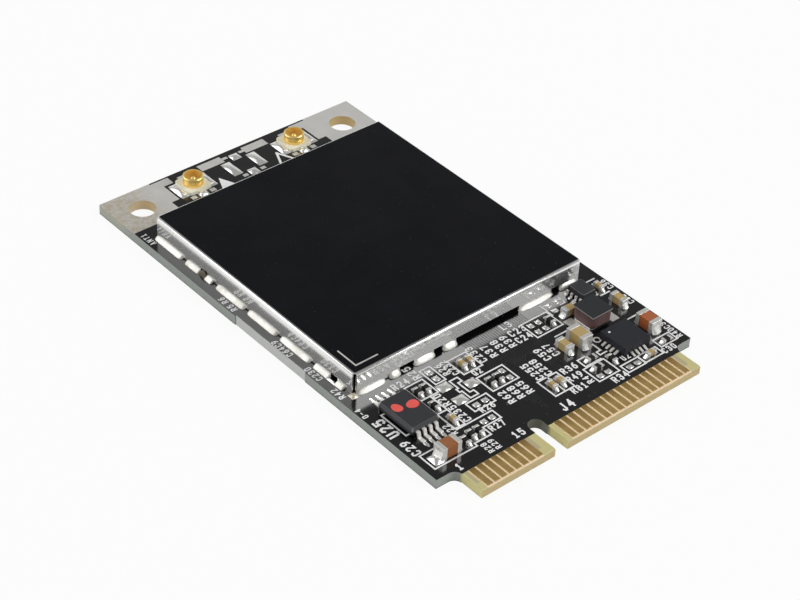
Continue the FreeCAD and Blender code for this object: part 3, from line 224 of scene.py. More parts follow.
# Filled holes: their radius, the steps, number and reach of those drawn in front of the can, then how
# densely the mask's finish is dotted with more, and how far their rims fade
VIA_RADIUS = 0.13
VIA_STEPS = 10
VIA_COUNT = 90
VIA_SIDE_REACH = 14.2
VIA_FRONT_GAP = 0.5
VIA_REAR_GAP = 1.5
VIA_GRAIN = 420.0
VIA_FADE = 1.3

# Paint dots on the memory chip, as offsets from its corner and half sizes
PAINT_DOTS = [(0.73, 2.82, 0.46, 0.55), (2.12, 2.43, 0.58, 0.53)]
PAINT_RISE = 0.012 * MM
PAINT_WOBBLE = 0.06
# The converter chip's dot: distance in from both edges, and its radius
FIRST_PAD_INSET = 0.55
FIRST_PAD_RADIUS = 0.12
# Points of a blob's outline, the strength of its second wave, and the share of it that is flat on top
BLOB_STEPS = 24
BLOB_SECOND_WAVE = 0.7
BLOB_FLAT_SHARE = 0.85

# Burnt flux on the can's left solder: its place, the reach and half length of the stain, then the lump's
# distance from the wall, half sizes and height
FLUX_PLACE = 10.85 * MM
STAIN_REACH = 0.6 * MM
STAIN_HALF_LENGTH = 0.35 * MM
FLUX_OUT = 0.1 * MM
FLUX_HALF_WIDTH = 0.22 * MM
FLUX_HALF_LENGTH = 0.62 * MM
FLUX_RISE = 0.6 * MM
# The dab at the foot of the can's front left corner: its reach, and its height against that
CORNER_DAB = 0.38 * MM
CORNER_DAB_RISE = 0.6

# Corner mark on the film: distance in from both edges, length and width of its legs
MARK_INSET = 0.6 * MM
MARK_LEG = 2.5 * MM
MARK_WIDTH = 0.13 * MM

# Rounded edges: width in millimetres for each node, then the segments, and the least turn that is
# rounded, in degrees
EDGE_WIDTHS = {
    "edge_contacts_top": 0.022, "edge_contacts_bottom": 0.022, "circuit_board": 0.04, "shield_can": 0.02,
    "inductor_core": 0.03, "inductor_winding": 0.25, "memory_chip_body": 0.12, "switch_chip_body": 0.09,
    "converter_chip_body": 0.03, "input_capacitor_left_terminations": 0.07,
    "input_capacitor_right_terminations": 0.07, "output_capacitor_terminations": 0.07,
    "medium_capacitor_terminations": 0.05, "small_capacitor_terminations": 0.035,
    "resistor_terminations": 0.03, "memory_chip_leads": 0.03, "switch_chip_leads": 0.025,
    "antenna_socket_left_base": 0.08, "antenna_socket_right_base": 0.08,
    "antenna_socket_left_tabs": 0.05, "antenna_socket_right_tabs": 0.05, "converter_chip_pads": 0.04,
}
EDGE_SEGMENTS = 2
EDGE_ANGLE = 35

# Floor: half its side in metres, its drop below the card, its finish, and the share of white that is seen
FLOOR_REACH = 3.0
FLOOR_DROP = 0.02 * MM
FLOOR_COLOUR = (0.9, 0.9, 0.9, 1.0)
FLOOR_ROUGHNESS = 0.8
FLOOR_WHITE = 0.92
# Sky: brightness at the horizon and overhead, and the rise of a direction over which it falls
SKY_HORIZON = 0.95
SKY_TOP = 0.25
SKY_FALL = (0.05, 0.6)
# Lamps as name, place and size in metres, power; each is aimed at the card's middle, and the can's walls
# mirror it onto the mask beside them
SOFTBOXES = [
    ("rear_left_softbox", (-0.37, 0.40, 0.425), 0.56, 2.0),
    ("front_right_softbox", (0.386, -0.416, 0.443), 0.36, 2.4),
]

# Camera fitted to the photograph, in millimetres and degrees, with its focal length in pixels
CAMERA_PLACE = (-106.11, -114.90, 120.61)
CAMERA_AZIMUTH = -42.84
CAMERA_ELEVATION = 37.98
CAMERA_ROLL = 3.44
CAMERA_FOCUS = 2175.1
PHOTO_WIDTH = 800
SENSOR_WIDTH = 36.0
# Nearest and farthest distance that the camera shows, in metres
NEAREST, FARTHEST = 0.01, 20.0

# How far a surface is turned: limits of its normal's part along one axis
FRONT_FACE = (-0.85, -0.75)
FLAT_TOP = (0.9, 0.95)
UPRIGHT = (0.5, 0.9)
LEAD_IN_FRONT = (-0.5, -0.3)
LEAD_IN_UP = (0.3, 0.5)
HOLE_WALL = (0.2, 0.6)
CHIP_TOP = (0.9, 0.97)
CHIP_SLOPE = (0.25, 0.4)


# Materials
class Finish:
    """A principled material whose colour and roughness are broken up by noise in the part's own frame."""

    ROUGHNESS_SPREAD = 0.15

    def __init__(self, name, colour, roughness, metallic=0.0, specular=0.5, spread=0.12, grain=1500.0):
        self.material = bpy.data.materials.new(name)
        self.material.use_nodes = True
        self.tree = self.material.node_tree
        self.shader = self.tree.nodes["Principled BSDF"]
        self.shader.inputs["Metallic"].default_value = metallic
        self.shader.inputs["Specular IOR Level"].default_value = specular
        self.place = self.add("ShaderNodeTexCoord").outputs["Object"]
        grey = self.noise(grain)
        dark = [channel * (1 - spread) for channel in colour]
        light = [min(channel * (1 + spread), 1.0) for channel in colour]
        self.colour = self.blend(grey, dark, light)
        self.link(self.colour, self.shader.inputs["Base Color"])
        smooth, coarse = roughness * (1 - self.ROUGHNESS_SPREAD), roughness * (1 + self.ROUGHNESS_SPREAD)
        self.link(self.ranged(grey, smooth, coarse), self.shader.inputs["Roughness"])

    def add(self, kind, **settings):
        node = self.tree.nodes.new(kind)
        for name, setting in settings.items():
            setattr(node, name, setting)
        return node

    def link(self, source, target):
        self.tree.links.new(source, target)

    def feed(self, socket, value):
        """Link a socket, or set it where the value is plain."""
        if isinstance(value, bpy.types.NodeSocket):
            self.link(value, socket)
        elif hasattr(socket.default_value, "__len__") and len(value) == 3:
            socket.default_value = (*value, 1.0) if len(socket.default_value) == 4 else value
        else:
            socket.default_value = value

    def noise(self, grain, detail=3.0):
        texture = self.add("ShaderNodeTexNoise")
        texture.inputs["Scale"].default_value = grain
        texture.inputs["Detail"].default_value = detail
        self.link(self.place, texture.inputs["Vector"])
        return texture.outputs["Fac"]

    def ranged(self, source, low, high, start=0.3, end=0.7):
        """Low up to start, high from end on, and even between them."""
        spread = self.add("ShaderNodeMapRange")
        self.link(source, spread.inputs["Value"])
        for name, value in (("From Min", start), ("From Max", end), ("To Min", low), ("To Max", high)):
            spread.inputs[name].default_value = value
        return spread.outputs["Result"]

    def blend(self, factor, first, second):
        mix = self.add("ShaderNodeMix", data_type="RGBA")
        colours = [socket for socket in mix.inputs if socket.type == "RGBA"]
        self.feed(mix.inputs[0], factor)
        self.feed(colours[0], first)
        self.feed(colours[1], second)
        return [socket for socket in mix.outputs if socket.type == "RGBA"][0]

    def math(self, operation, first, second):
        node = self.add("ShaderNodeMath", operation=operation)
        self.feed(node.inputs[0], first)
        self.feed(node.inputs[1], second)
        return node.outputs[0]

    def both(self, first, second):
        return self.math("MULTIPLY", first, second)

    def coordinate(self, axis):
        split = self.add("ShaderNodeSeparateXYZ")
        self.link(self.place, split.inputs[0])
        return split.outputs[axis]

    def facing(self, axis):
        split = self.add("ShaderNodeSeparateXYZ")
        self.link(self.add("ShaderNodeNewGeometry").outputs["Normal"], split.inputs[0])
        return split.outputs[axis]

    def steepness(self, low, high, start, end):
        """Ranged over the size of the normal's upright part, which is 1 on level faces."""
        return self.ranged(self.math("ABSOLUTE", self.facing("Z"), 0.0), low, high, start, end)

    def tint(self, factor, colour):
        """Lay another colour over the present one where factor is 1."""
        self.colour = self.blend(factor, self.colour, colour)
        self.link(self.colour, self.shader.inputs["Base Color"])

    def edges(self, colour, start=0.75, end=0.98):
        """Another colour on faces that turn away from straight up or down."""
        self.tint(self.steepness(1.0, 0.0, start, end), colour)

    def within(self, axis, low, high, soft):
        """1 between two places along an axis, fading over a soft distance outside them."""
        along = self.coordinate(axis)
        rising = self.ranged(along, 0.0, 1.0, low - soft, low)
        falling = self.ranged(along, 1.0, 0.0, high, high + soft)
        return self.both(rising, falling)

    def patch(self, left, right, front, rear, soft=0.02 * MM):
        return self.both(self.within("X", left, right, soft), self.within("Y", front, rear, soft))

    def rough(self, grain, strength, distance):
        bump = self.add("ShaderNodeBump")
        bump.inputs["Strength"].default_value = strength
        bump.inputs["Distance"].default_value = distance
        self.link(self.noise(grain), bump.inputs["Height"])
        self.link(bump.outputs["Normal"], self.shader.inputs["Normal"])


def filled_holes(mask):
    """Small plated holes under the mask, as paler dots."""
    cells = mask.add("ShaderNodeTexVoronoi")
    cells.inputs["Scale"].default_value = VIA_GRAIN
    mask.link(mask.place, cells.inputs["Vector"])
    reach = VIA_RADIUS * MM * VIA_GRAIN
    dots = mask.ranged(cells.outputs["Distance"], 1.0, 0.0, reach, VIA_FADE * reach)
    mask.tint(dots, (0.035, 0.036, 0.037))


def glossy_mask(name, colour, specular):
    """Black mask, glossy enough to mirror the can's walls beside it."""
    mask = Finish(name, colour, roughness=0.16, specular=specular, spread=0.3, grain=900)
    mask.rough(grain=5000, strength=0.05, distance=0.01 * MM)
    return mask


def upper_mask():
    mask = glossy_mask("solder_mask", (0.005, 0.0052, 0.0054), specular=0.6)
    filled_holes(mask)
    return mask


def under_mask():
    """Black mask of the underside, with copper areas and filled holes showing faintly through it."""
    mask = glossy_mask("solder_mask_under", (0.009, 0.0092, 0.0095), specular=0.2)
    left, right = BOARD_LOW.x + POUR_INSET, BOARD_HIGH.x - POUR_INSET
    pour = mask.patch(left, right, CAN_LOW.y - POUR_REACH, CAN_HIGH.y)
    mask.tint(mask.both(pour, POUR_STRENGTH), (0.017, 0.0175, 0.018))
    filled_holes(mask)
    return mask


def laminate_sides(board):
    """A yellow tongue with a browner front, a painted paler light at the rear and painted dark shade in the
    key notch.
    """
    tongue = board.within("Y", BOARD_LOW.y - PAST_EDGE, MASK_FRONT, soft=0.15 * MM)
    board.tint(tongue, (0.62, 0.565, 0.26))
    front_face = board.ranged(board.facing("Y"), 1.0, 0.0, *FRONT_FACE)
    board.tint(board.both(front_face, tongue), (0.52, 0.41, 0.20))
    # Painted light: the laminate turns paler and warmer towards the rear, as if lit off the tinned land
    # there
    board.tint(board.ranged(board.coordinate("Y"), 0.0, 1.0, *PAINTED_REAR_LIGHT), (0.37, 0.385, 0.315))
    # Painted shade: the upright walls of the key notch turn dark
    upright = board.ranged(board.facing("Z"), 1.0, 0.0, *UPRIGHT)
    (_, key_left), (key_right, _) = CONTACT_ROWS
    notch = board.patch(key_left * MM, key_right * MM, MASK_FRONT, CAN_LOW.y, soft=0.4 * MM)
    board.tint(board.both(notch, upright), (0.14, 0.142, 0.108))


def laminate_copper(board):
    """Painted highlights of the contacts' edges between them and on the bare copper of the lead-in, then
    what shines through beside the rows.
    """
    front_slope = board.ranged(board.facing("Y"), 1.0, 0.0, *LEAD_IN_FRONT)
    lead_in = board.both(front_slope, board.ranged(board.facing("Z"), 0.0, 1.0, *LEAD_IN_UP))
    for left, right in CONTACT_ROWS:
        row = board.patch(left * MM, right * MM, BOARD_LOW.y - PAST_EDGE, MASK_FRONT)
        top = board.ranged(board.facing("Z"), 0.0, 1.0, *FLAT_TOP)
        # Painted highlight: bright gold on the laminate between the contacts, and over the lead-in's bare
        # copper
        board.tint(board.both(row, top), (0.92, 0.72, 0.46))
        board.tint(board.both(row, lead_in), (0.86, 0.66, 0.42))
    for left, right in CONTACT_SHADOWS:
        front = BOARD_LOW.y + SHADOW_SETBACK
        shadow = board.patch(left * MM, right * MM, front, MASK_FRONT, soft=0.15 * MM)
        top = board.ranged(board.facing("Z"), 0.0, SHADOW_STRENGTH, *FLAT_TOP)
        board.tint(board.both(shadow, top), (0.36, 0.29, 0.26))


def laminate():
    board = Finish("laminate", (0.288, 0.31, 0.288), roughness=0.55, spread=0.10, grain=2500)
    laminate_sides(board)
    laminate_copper(board)
    board.rough(grain=6000, strength=0.25, distance=0.02 * MM)
    return board


def contact_gold():
    """Gold that turns darker towards its rear end, with a painted highlight at its edges."""
    gold = Finish("contact_gold", (0.80, 0.54, 0.20), roughness=0.3, metallic=0.9, spread=0.08, grain=1500)
    rear = gold.ranged(gold.coordinate("Y"), low=0.0, high=0.8, start=MASK_FRONT - CONTACT_DARK_REAR,
                       end=MASK_FRONT)
    gold.tint(rear, (0.42, 0.26, 0.075))
    # Painted highlight: paler gold on the contacts' side and end faces
    gold.edges((0.95, 0.75, 0.46))
    return gold


def tinned_copper():
    """Tin that is worn on the left, with golden hole walls."""
    tin = Finish("tinned_copper", (0.76, 0.75, 0.715), roughness=0.45, metallic=0.5, spread=0.05, grain=700)
    tin.tint(tin.steepness(1.0, 0.0, *HOLE_WALL), (0.56, 0.42, 0.20))
    blotches = tin.ranged(tin.noise(grain=2600, detail=6.0), low=0.2, high=0.85, start=0.36, end=0.64)
    worn = tin.both(blotches, tin.ranged(tin.coordinate("X"), 1.0, 0.0, *WORN_LEFT))
    tin.tint(worn, (0.58, 0.50, 0.37))
    return tin


def black_film():
    """Black film with a pale corner mark, specks of dust and faint bluish clouds."""
    film = Finish("film", (0.0042, 0.0047, 0.0060), roughness=0.3, specular=0.10, spread=0.2, grain=160)
    left, front = FILM_LOW.x + MARK_INSET, FILM_LOW.y + MARK_INSET
    for width, length in ((MARK_WIDTH, MARK_LEG), (MARK_LEG, MARK_WIDTH)):
        film.tint(film.patch(left, left + width, front, front + length), (0.62, 0.61, 0.58))
    dust = film.ranged(film.noise(grain=5200, detail=0.0), low=0.0, high=0.4, start=0.80, end=0.84)
    film.tint(dust, (0.10, 0.10, 0.10))
    clouds = film.ranged(film.noise(grain=300), low=0.0, high=0.5, start=0.45, end=0.65)
    film.tint(clouds, (0.0065, 0.0065, 0.011))
    return film


def can_solder():
    """Uneven solder with dull patches and a stain of burnt flux."""
    solder = Finish("solder", (0.74, 0.73, 0.69), roughness=0.45, metallic=0.75, spread=0.06, grain=900)
    dull = solder.ranged(solder.noise(grain=650), low=0.0, high=0.75, start=0.5, end=0.66)
    solder.tint(dull, (0.55, 0.54, 0.48))
    stain = solder.patch(CAN_LOW.x - STAIN_REACH, CAN_LOW.x, FLUX_PLACE - STAIN_HALF_LENGTH,
                         FLUX_PLACE + STAIN_HALF_LENGTH, soft=0.25 * MM)
    solder.tint(stain, (0.20, 0.155, 0.095))
    solder.rough(grain=1300, strength=0.7, distance=0.06 * MM)
    return solder


def chip_moulding():
    """Black moulding with a painted highlight on its sloping edges."""
    moulding = Finish("chip_moulding", (0.035, 0.036, 0.040), roughness=0.5, specular=0.3, spread=0.15,
                      grain=6000)
    turned = moulding.ranged(moulding.facing("Z"), 1.0, 0.0, *CHIP_TOP)
    upward = moulding.ranged(moulding.facing("Z"), 0.0, 1.0, *CHIP_SLOPE)
    # Painted highlight along the bevel between the top and the sides
    moulding.tint(moulding.both(turned, upward), (0.26, 0.26, 0.265))
    return moulding


def ferrite():
    core = Finish("ferrite", (0.022, 0.024, 0.027), roughness=0.5, specular=0.3, spread=0.2, grain=5000)
    # Painted highlight: paler grey on the edges of the flanges
    core.edges((0.27, 0.27, 0.265), start=0.65, end=0.88)
    return core


def winding():
    """Varnished wire with painted shade under the upper flange."""
    wire = Finish("winding", (0.18, 0.105, 0.105), roughness=0.55, specular=0.25, spread=0.25, grain=2500)
    shade = wire.ranged(wire.coordinate("Z"), low=0.0, high=0.75, start=DRUM_LOW.z + WINDING_SHADE,
                        end=DRUM_HIGH.z)
    wire.tint(shade, (0.05, 0.03, 0.03))
    return wire


FINISHES = {
    "mask": upper_mask(),
    "under_mask": under_mask(),
    "trace": glossy_mask("masked_copper", (0.026, 0.0265, 0.027), specular=0.3),
    "laminate": laminate(),
    "contact": contact_gold(),
    "tin": tinned_copper(),
    "plating": Finish("edge_plating", (0.475, 0.485, 0.475), roughness=0.4, metallic=0.6, spread=0.08),
    "can": Finish("can_metal", (0.84, 0.84, 0.83), roughness=0.14, metallic=0.9, spread=0.03, grain=300),
    "film": black_film(),
    "pillow": Finish("solder_pillow", (0.93, 0.925, 0.90), roughness=0.27, metallic=0.82, spread=0.05,
                     grain=900),
    "solder": can_solder(),
    "dab": Finish("corner_dab", (0.62, 0.57, 0.46), roughness=0.3, metallic=0.3, spread=0.3, grain=2600),
    "termination": Finish("termination", (0.86, 0.85, 0.82), roughness=0.3, metallic=0.65, spread=0.04,
                          grain=350),
    "lead": Finish("lead", (0.95, 0.935, 0.90), roughness=0.32, metallic=0.35, spread=0.05, grain=1200),
    "moulding": chip_moulding(),
    "converter": Finish("converter_moulding", (0.020, 0.021, 0.027), roughness=0.45, specular=0.3,
                        spread=0.15, grain=6000),
    "tan": Finish("capacitor_tan", (0.50, 0.36, 0.15), roughness=0.4, spread=0.12, grain=5000),
    "brown": Finish("capacitor_brown", (0.33, 0.12, 0.04), roughness=0.45, spread=0.12, grain=5000),
    "orange": Finish("capacitor_orange", (0.42, 0.115, 0.035), roughness=0.45, spread=0.12, grain=5000),
    "glaze": Finish("resistor_glaze", (0.012, 0.012, 0.012), roughness=0.35, specular=0.35, spread=0.2,
                    grain=6000),
    "ferrite": ferrite(),
    "winding": winding(),
    "cream": Finish("socket_plastic", (0.99, 0.93, 0.75), roughness=0.4, spread=0.06, grain=3000),
    "gold": Finish("socket_gold", (1.0, 0.71, 0.24), roughness=0.36, metallic=0.7, spread=0.04, grain=1200),
    "print": Finish("white_print", (0.95, 0.955, 0.96), roughness=0.6, specular=0.2, spread=0.08,
                    grain=4000),
    "flux": Finish("burnt_flux", (0.13, 0.105, 0.07), roughness=0.4, spread=0.45, grain=2500),
    "paint": Finish("red_paint", (0.86, 0.12, 0.10), roughness=0.55, specular=0.3, spread=0.10, grain=3000),
}
NODE_FINISH = {
    "circuit_board": "laminate", "solder_mask_top": "mask", "solder_mask_bottom": "under_mask",
    "edge_contacts_top": "contact", "edge_contacts_bottom": "contact", "edge_plating": "plating",
    "ground_land_left": "tin", "ground_land_right": "tin", "rear_ground_strips": "tin",
    "solder_lands": "tin", "shield_can": "can", "shield_film": "film", "converter_chip_pads": "solder",
    "converter_chip_body": "converter", "inductor_core": "ferrite", "inductor_winding": "winding",
    "inductor_terminals": "termination", "resistor_bodies": "glaze", "input_capacitor_left_body": "brown",
    "input_capacitor_right_body": "orange", "output_capacitor_body": "tan", "medium_capacitor_bodies": "tan",
    "small_capacitor_bodies": "tan", "shielded_capacitors": "tan", "band_filters": "tan",
    "crystal_tray": "tan", "crystal_lid": "termination",
}


def finish_of(name):
    if name in NODE_FINISH:
        return NODE_FINISH[name]
    if name.endswith("_leads"):
        return "lead"
    if name.endswith(("_terminations", "_tabs")):
        return "termination"
    if name.startswith("antenna_socket"):
        return "cream" if name.endswith("_base") else "gold"
    if name.endswith("_solder"):
        return "solder"
    return "moulding"


def dress(thing, finish):
    thing.data.materials.clear()
    thing.data.materials.append(FINISHES[finish].material)


def round_edges(thing, width):
    """Weld the solid's faces together and round its sharp edges."""
    weld = thing.modifiers.new("Weld", "WELD")
    weld.merge_threshold = SAME_POINT
    bevel = thing.modifiers.new("Bevel", "BEVEL")
    bevel.width = width
    bevel.segments = EDGE_SEGMENTS
    bevel.limit_method = "ANGLE"
    bevel.angle_limit = math.radians(EDGE_ANGLE)
    bevel.harden_normals = False


for node_name, node_object in NODES.items():
    dress(node_object, finish_of(node_name))
    if node_name in EDGE_WIDTHS:
        round_edges(node_object, EDGE_WIDTHS[node_name] * MM)


# New pieces
def piece(name, sheet, finish, smooth=True):
    """A mesh in the part's own frame that rides with the card."""
    mesh = bpy.data.meshes.new(name)
    mesh.from_pydata([tuple(point) for point in sheet.points], [], sheet.faces)
    mesh.update()
    for polygon in mesh.polygons:
        polygon.use_smooth = smooth
    thing = bpy.data.objects.new(name, mesh)
    bpy.context.scene.collection.objects.link(thing)
    dress(thing, finish)
    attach(thing, "root")
    return thing


class Sheet:
    """Points and faces of many small shapes that become one piece."""

    def __init__(self):
        self.points = []
        self.faces = []

    def add(self, points, faces):
        start = len(self.points)
        self.points += points
        self.faces += [tuple(start + index for index in face) for face in faces]

    def grid(self, columns, rows, place):
        """A net of quads over u and v from 0 to 1."""
        points = []
        for row in range(rows + 1):
            for column in range(columns + 1):
                points.append(place(column / columns, row / rows))
        wide = columns + 1
        faces = []
        for row in range(rows):
            for column in range(columns):
                first = row * wide + column
                faces.append((first, first + 1, first + wide + 1, first + wide))
        self.add(points, faces)

    def flat(self, corners, level):
        """A flat outline in millimetres, a hair above the last so that crossing strips share no plane."""
        level += len(self.faces) % LEVELS * LEVEL_STEP
        self.add([Vector((x * MM, y * MM, level)) for x, y in corners], [tuple(range(len(corners)))])

    def line(self, start, end, width, level):
        """A flat strip whose ends reach half its width past both points."""
        run = (Vector(end) - Vector(start)).normalized() * width / 2
        side = Vector((-run.y, run.x))
        first, last = Vector(start) - run, Vector(end) + run
        self.flat([first - side, last - side, last + side, first + side], level)

    def dome(self, centre, half_x, half_y, floor, rise):
        """A pillow of solder."""

        def place(u, v):
            x, y = math.sin(math.pi * (u - 0.5)), math.sin(math.pi * (v - 0.5))
            height = (1 - x ** 2) * (1 - y ** 2)
            return Vector((centre.x + half_x * x, centre.y + half_y * y, floor + rise * height))

        self.grid(DOME_STEPS, DOME_STEPS, place)


def circle(x, y, radius, steps):
    turns = [math.tau * step / steps for step in range(steps)]
    return [(x + radius * math.cos(turn), y + radius * math.sin(turn)) for turn in turns]


def islands(name):
    """The lowest and highest corner and the points of each solid in a node."""
    mesh = NODES[name].data
    whole = {}
    for vertex in mesh.vertices:
        key = tuple(round(value / SAME_POINT) for value in vertex.co)
        whole.setdefault(key, []).append(vertex.index)
    parent = list(range(len(mesh.vertices)))

    def root(index):
        while parent[index] != index:
            parent[index] = parent[parent[index]]
            index = parent[index]
        return index

    for same in whole.values():
        for index in same[1:]:
            parent[root(index)] = root(same[0])
    for polygon in mesh.polygons:
        for index in polygon.vertices[1:]:
            parent[root(index)] = root(polygon.vertices[0])
    groups = {}
    for vertex in mesh.vertices:
        groups.setdefault(root(vertex.index), []).append(vertex.co.copy())
    found = []
    for points in groups.values():
        low = Vector([min(point[axis] for point in points) for axis in range(3)])
        high = Vector([max(point[axis] for point in points) for axis in range(3)])
        found.append((low, high, points))
    return found


# Solder: drawn-in fillets at component ends, rounded bars along the can, domes on bare lands
def ramp_axes(low, high, points):
    """Where a solder ramp starts, its direction, its run and its half width."""
    top = [point for point in points if point.z > high.z - RIDGE_DEPTH]
    centre = (low + high) / 2
    ridge = sum(top, Vector()) / len(top)
    away = centre - ridge
    axis = 0 if abs(away.x) > abs(away.y) else 1
    heading = Vector((0, 0, 0))
    heading[axis] = math.copysign(1, away[axis])
    start = centre.copy()
    start[axis] = low[axis] if heading[axis] > 0 else high[axis]
    start.z = low.z
    size = high - low
    return start, heading, size[axis], size[1 - axis] / 2


def solder_ramps(node, name, finish, bulge, blunt, stretch, climb, columns, rows):
    """Ramps with rounded ends; a bulge over 1 swells outwards, and short ones that fall along y climb."""
    sheet = Sheet()
    for low, high, points in islands(node):
        start, heading, run, half_width = ramp_axes(low, high, points)
        side = Vector((-heading.y, heading.x, 0))
        rise = (high.z - low.z) * (climb if heading.y and half_width < SHORT_BAR / 2 else 1)
        power = blunt if heading.x else blunt / ROUNDER_ENDS

        def place(u, v):
            across = math.sin(math.pi * (v - 0.5))
            end = (1 - abs(across) ** power) ** 0.5
            slope = (1 - u ** bulge) ** (1 / bulge)
            height = rise * slope * (RAMP_END_HEIGHT + (1 - RAMP_END_HEIGHT) * end)
            out = run * u * (RAMP_END_RUN + (1 - RAMP_END_RUN) * end)
            spot = start + heading * out + side * (half_width * stretch * across)
            return spot + Vector((0, 0, height))

        sheet.grid(columns, rows, place)
    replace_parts(piece(name, sheet, finish), node)


def solder_domes():
    sheet = Sheet()
    for low, high, _ in islands("bare_land_solder"):
        centre, half = (low + high) / 2, (high - low) / 2
        sheet.dome(centre, half.x, half.y, low.z, DOME_RISE * min(half.x, half.y))
    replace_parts(piece("solder_domes", sheet, "pillow"), "bare_land_solder")


def solder_pools():
    """The wider joints: at the left capacitor, beside the can's left wall and over the sockets' tabs."""
    sheet = Sheet()
    for x, y, size_x, size_y, rise in SOLDER_POOLS:
        sheet.dome(Vector((x, y, 0)) * MM, size_x / 2 * MM, size_y / 2 * MM, BOARD_TOP, rise * MM)
    piece("solder_pools", sheet, "pillow")


def burnt_flux():
    """The brown lump beside an arch in the can's left wall."""
    sheet = Sheet()
    centre = Vector((CAN_LOW.x - FLUX_OUT, FLUX_PLACE, 0))
    sheet.dome(centre, FLUX_HALF_WIDTH, FLUX_HALF_LENGTH, BOARD_TOP, FLUX_RISE)
    piece("burnt_flux", sheet, "flux")


def corner_solder():
    """The dab that closes the foot of the can's front left corner slit."""
    sheet = Sheet()
    sheet.dome(CAN_LOW, CORNER_DAB, CORNER_DAB, BOARD_TOP, CORNER_DAB_RISE * CORNER_DAB)
    piece("corner_solder", sheet, "dab")


# White print on the mask
def letters(sheet, level):
    """Lay every word flat on the board, stroke by stroke."""
    for words, x, y, height, turned in PRINT_WORDS:
        stroke = LETTER_STROKE * height
        left = 0.0
        for letter in words:
            for path in STROKES[letter]:
                spots = []
                for column, row in path:
                    across = left + stroke / 2 + column / FIELD_WIDTH * (LETTER_WIDTH * height - stroke)
                    up = stroke / 2 + row / FIELD_HEIGHT * (height - stroke)
                    spots.append((x - up, y + across) if turned else (x + across, y + up))
                for start, end in zip(spots, spots[1:]):
                    sheet.line(start, end, stroke, level)
            left += (SPACE_STEP if letter == " " else LETTER_STEP) * height


def closed_line(sheet, corners, level):
    for start, end in zip(corners, corners[1:] + corners[:1]):
        sheet.line(start, end, PRINT_LINE, level)


def white_print():
    sheet = Sheet()
    level = BOARD_TOP + PRINT_RISE
    for left, rear, right, front in PRINT_BOXES:
        closed_line(sheet, [(left, rear), (right, rear), (right, front), (left, front)], level)
    for x0, y0, x1, y1 in PRINT_LINES:
        sheet.line((x0, y0), (x1, y1), PRINT_LINE, level)
    closed_line(sheet, circle(*PRINT_RING, PRINT_RING_STEPS), level)
    left, right, base, tip = SOLID_MARK
    sheet.flat([(left, base), (right, base), ((left + right) / 2, tip)], level)
    left, right, base, tip = OPEN_MARK
    middle = (left + right) / 2
    for start, end in (((left, base), (middle, tip)), ((middle, tip), (right, base))):
        sheet.line(start, end, OPEN_MARK_LINE, level)
    letters(sheet, level)
    piece("white_print", sheet, "print", smooth=False)


# Copper under the mask: lines that leave the can's long opening, and filled holes
def masked_copper():
    sheet = Sheet()
    level = BOARD_TOP + TRACE_RISE
    front = CAN_LOW.y / MM
    chance = random.Random(TRACE_SEED)
    for index in range(TRACE_COUNT):
        x = TRACE_FIRST + index * TRACE_PITCH
        bend = front - TRACE_BEND - TRACE_BEND_STEP * index
        end = front - chance.uniform(*TRACE_ENDS)
        shift = LEFT_SHIFT if index % TRACE_GROUP < TRACE_LEFTWARD else RIGHT_SHIFT
        after = (x + shift, bend - abs(shift))
        sheet.line((x, front - TRACE_START), (x, bend), TRACE_WIDTH, level)
        sheet.line((x, bend), after, TRACE_WIDTH, level)
        sheet.line(after, (x + shift, end), TRACE_WIDTH, level)
    for _ in range(VIA_COUNT):
        x = chance.uniform(-VIA_SIDE_REACH, VIA_SIDE_REACH)
        y = chance.uniform(MASK_FRONT / MM + VIA_FRONT_GAP, front - VIA_REAR_GAP)
        sheet.flat(circle(x, y, VIA_RADIUS, VIA_STEPS), level)
    piece("masked_copper", sheet, "trace", smooth=False)


def spurs():
    sheet = Sheet()
    for x, y, size_x, size_y in SPURS:
        left, right = x - size_x / 2, x + size_x / 2
        front, rear = y - size_y / 2, y + size_y / 2
        sheet.flat([(left, front), (right, front), (right, rear), (left, rear)], BOARD_TOP + PAD_RISE)
    piece("tinned_spurs", sheet, "tin", smooth=False)


# Two dabs of inspection paint on the memory chip, and the white dot of the converter chip
def blob(sheet, x, y, size_x, size_y, level, wobble):
    """A thin drop of paint, its outline uneven by the wobble."""
    chance = random.Random(round(x * 100))
    phase = chance.uniform(0, math.tau)
    turns = [math.tau * step / BLOB_STEPS for step in range(BLOB_STEPS)]
    points = [Vector((x * MM, y * MM, level + PAINT_RISE))]
    for scale, height in ((BLOB_FLAT_SHARE, PAINT_RISE), (1.0, 0.0)):
        for turn in turns:
            wave = math.sin(2 * turn + phase) + BLOB_SECOND_WAVE * math.sin(3 * turn - phase)
            reach = scale * (1 + wobble * wave)
            points.append(Vector(((x + size_x * reach * math.cos(turn)) * MM,
                                  (y + size_y * reach * math.sin(turn)) * MM, level + height)))
    faces = []
    for step in range(BLOB_STEPS):
        inner, after = 1 + step, 1 + (step + 1) % BLOB_STEPS
        faces.append((0, inner, after))
        faces.append((inner, BLOB_STEPS + inner, BLOB_STEPS + after, after))
    sheet.add(points, faces)


def inspection_paint():
    sheet = Sheet()
    corner_x, corner_y = MEMORY_LOW.x / MM, MEMORY_LOW.y / MM
    for x, y, size_x, size_y in PAINT_DOTS:
        blob(sheet, corner_x + x, corner_y + y, size_x, size_y, MEMORY_HIGH.z, PAINT_WOBBLE)
    piece("inspection_paint", sheet, "paint")


def first_pad_dot():
    sheet = Sheet()
    x, y = CONVERTER_LOW.x / MM + FIRST_PAD_INSET, CONVERTER_HIGH.y / MM - FIRST_PAD_INSET
    blob(sheet, x, y, FIRST_PAD_RADIUS, FIRST_PAD_RADIUS, CONVERTER_HIGH.z, wobble=0.0)
    piece("first_pad_dot", sheet, "print")


